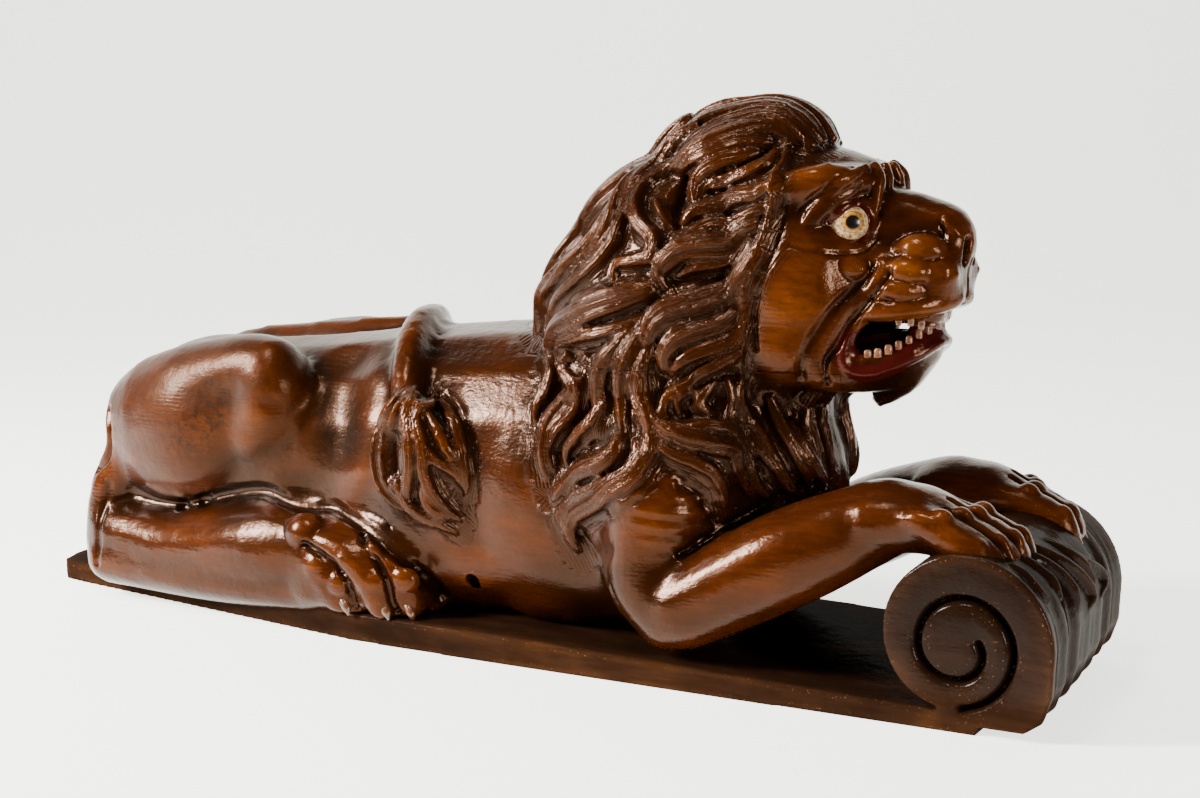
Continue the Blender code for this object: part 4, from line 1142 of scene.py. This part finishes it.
def painted_eye(name, side):
    """Ivory ball with a gold iris and a black pupil, under the same varnish."""
    f = Finish("painted " + name)
    gaze = Vector((GAZE[0] + PUPIL_AHEAD, GAZE[1] * side, GAZE[2] + PUPIL_UP)).normalized()
    middle = at(EYE[0], EYE[1] * side, EYE[2])
    out = f.add("VectorMath", (f.add("NewGeometry"), middle), operation="SUBTRACT")
    unit = f.add("VectorMath", (out,), operation="NORMALIZE")
    facing = f.add("VectorMath", (unit, gaze), "Value", operation="DOT_PRODUCT")
    paint = f.add("ValToRGB", (facing,), stops=EYE_PAINT)
    dirt = f.add("MapRange", (f.mottle(EYE_SPOT, roughness=0.7), 0.42, 0.60, 0.0, 0.85))
    white = f.add("Math", (dirt, f.add("MapRange", (facing, *PUPIL_EDGE, 1.0, 0.0))), operation="MULTIPLY")
    colour = f.add("Mix", {0: white, 6: paint, 7: linear("#4e2c15")}, 2, data_type="RGBA")
    f.fill(f.shader, {"Base Color": colour, "Roughness": 0.3, "Specular IOR Level": 0.2,
                      "Coat Weight": 0.35, "Coat Roughness": 0.08})
    return f.material


def finish_piece(obj, name, material, nodes=()):
    obj.name = name
    obj.data.name = name
    obj.data.materials.clear()
    obj.data.materials.append(material)
    obj.data.shade_smooth()
    obj.data.set_sharp_from_angle(angle=math.radians(60))
    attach(obj, "root")
    if nodes:
        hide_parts(*nodes)


def head_space(gap):
    """The space above the glue line that the head block fills, less the glue."""
    beyond = 1.0
    upper = box("head space", at(GLUE_LINE_BACK - gap, 0, GLUE_LINE_HEIGHT - gap) - Vector((0, beyond, 0)),
                (beyond,) * 3)
    lower = box("chin space", at(CHIN_BACK - gap, 0, CHIN_LOW - gap) - Vector((0, beyond / 2, 0)),
                (beyond / 2, beyond / 2, (GLUE_LINE_HEIGHT + 20) * HAND))
    return cut(upper, lower, "UNION")


def build():
    """Carves lion and base, parts the head at the glue line, and adds teeth, claws and eyes."""
    lion = carve_lion()
    keep_largest_shell(lion)
    cut(lion, box("floor", (-1, -1, -1), (1, 1, 3 * HAND)))
    drill = bmesh.new()
    bmesh.ops.create_cone(drill, cap_ends=True, segments=32, radius1=HOLE_REACH * HAND,
                          radius2=HOLE_REACH * HAND, depth=HOLE_DEPTH * 2 * HAND,
                          matrix=Matrix.Translation(at(*HOLE)) @ Matrix.Rotation(math.pi / 2, 4, "X"))
    cut(lion, new_object("drill", drill))
    note_hollows(lion)
    note_paint(lion)
    note_tones_and_shade(lion)
    upper = placed("upper", lion.data.copy())
    cut(upper, head_space(0), "INTERSECT")
    cut(lion, head_space(GLUE_GAP))
    base = carve_base()
    note_hollows(base)
    note(base, "dull", np.clip((26 - places_of(base.data)[:, 2] / HAND) / 8, 0, 1))
    oak, dark_oak = varnished_oak("varnished oak with painted shade"), varnished_oak("varnished oak with painted shade, handled dark", True)
    for obj, name, material, nodes in ((lion, "carved_body", oak, ["body_block"]),
                                       (upper, "carved_head", oak, ["head_block"]),
                                       (base, "carved_base", dark_oak, ["body_block"])):
        reduce_facets(obj, MOST_TRIANGLES)
        finish_piece(obj, name, material, nodes)
    finish_piece(new_object("teeth", teeth().bm), "teeth", painted("old ivory paint", "#80563a"))
    finish_piece(new_object("claws", claws().bm), "claws", painted("worn amber varnish", "#4a2a10"))
    for side, name in ((-1, "eye_right"), (1, "eye_left")):
        ball = Stock()
        ball.ball((EYE[0] - 1, EYE[1] * side, EYE[2]), (EYE_SIZE + 2, EYE_SIZE, EYE_SIZE))
        finish_piece(new_object(name, ball.bm), name, painted_eye(name, side))


def area_light(name, place, aim, size, power):
    light = bpy.data.lights.new(name, "AREA")
    light.shape = "RECTANGLE"
    light.size, light.size_y = size
    light.energy = power
    obj = placed(name, light)
    obj.location = place
    obj.rotation_euler = (Vector(aim) - Vector(place)).to_track_quat("-Z", "Y").to_euler()


# How far the paper is turned to face the camera, how it is lit from within, and its sweep up behind
PAPER_TURN = 0.497
PAPER_GLOW = 3.0
SWEEP_START, SWEEP_REACH = 1.6, 1.2


def studio():
    """Paper that sweeps up behind, lit from within and painted dark in front as if in shadow, and softboxes
    on the left, above and on the right.
    """
    bm = bmesh.new()
    profile = [(-3.0, 0.0), (-0.4, 0.0), (SWEEP_START, 0.0)]
    profile += [(SWEEP_START + SWEEP_REACH * math.sin(a), SWEEP_REACH - SWEEP_REACH * math.cos(a))
                for a in np.radians(np.arange(10, 91, 10))]
    profile += [(SWEEP_START + SWEEP_REACH, 4.0)]
    turn = Matrix.Rotation(PAPER_TURN, 3, "Z")
    rows = [[bm.verts.new(turn @ Vector((x, y, z))) for x in (-5, 5)] for y, z in profile]
    for first, second in zip(rows, rows[1:]):
        bm.faces.new((first[0], first[1], second[1], second[0]))
    floor = new_object("floor", bm)
    floor.data.shade_smooth()
    f = Finish("pale paper shaded dark in front")
    facing = (-math.sin(PAPER_TURN), math.cos(PAPER_TURN), 0)
    away = f.add("VectorMath", (f.add("NewGeometry"), facing), "Value", operation="DOT_PRODUCT")
    # Painted shadow: the front of the paper, toward the camera, is dark grey and has no glow, as if out of
    # the light.
    paper = f.add("ValToRGB", (f.add("MapRange", (away, -0.75, -0.38)),),
                  stops=((0.0, "#2c2c2b"), (1.0, "#efeee9")))
    glow = f.add("ValToRGB", (f.add("MapRange", (away, -0.5, 2.5)),),
                 stops=((0.0, "#000000"), (0.05, "#e1e1e1"), (0.35, "#dadada"), (0.8, "#c8c8c8")))
    f.fill(f.shader, {"Base Color": paper, "Roughness": 0.7, "Specular IOR Level": 0.2,
                      "Emission Color": linear("#f4f4ea"),
                      "Emission Strength": f.add("Math", (glow, PAPER_GLOW), operation="MULTIPLY")})
    floor.data.materials.append(f.material)
    area_light("left softbox", (-1.35, -1.15, 1.03), (-0.05, 0, 0.12), (0.30, 0.72), 160)
    area_light("right softbox", (1.6, -0.7, 0.45), (0.15, 0, 0.15), (0.25, 0.5), 20)
    area_light("top softbox", (-0.1, -0.70, 1.75), (0.05, 0, 0.12), (0.40, 0.30), 20)
    world = bpy.data.worlds.new("studio")
    bpy.context.scene.world = world
    world.use_nodes = True
    world.node_tree.nodes["Background"].inputs["Color"].default_value = linear("#e8ece8")
    world.node_tree.nodes["Background"].inputs["Strength"].default_value = 0.10


# The camera: place, how far it looks down and round, lens and width of the picture behind it
CAMERA_PLACE = (0.695, -1.177, 0.3575)
CAMERA_DOWN, CAMERA_ROUND = 0.14905, 0.49718
LENS, FILM = 62.13, 36


def camera():
    data = bpy.data.cameras.new("camera")
    data.lens, data.sensor_width = LENS, FILM
    obj = placed("camera", data)
    obj.location = CAMERA_PLACE
    obj.rotation_euler = (math.pi / 2 - CAMERA_DOWN, 0, CAMERA_ROUND)
    bpy.context.scene.camera = obj


build()
studio()
camera()
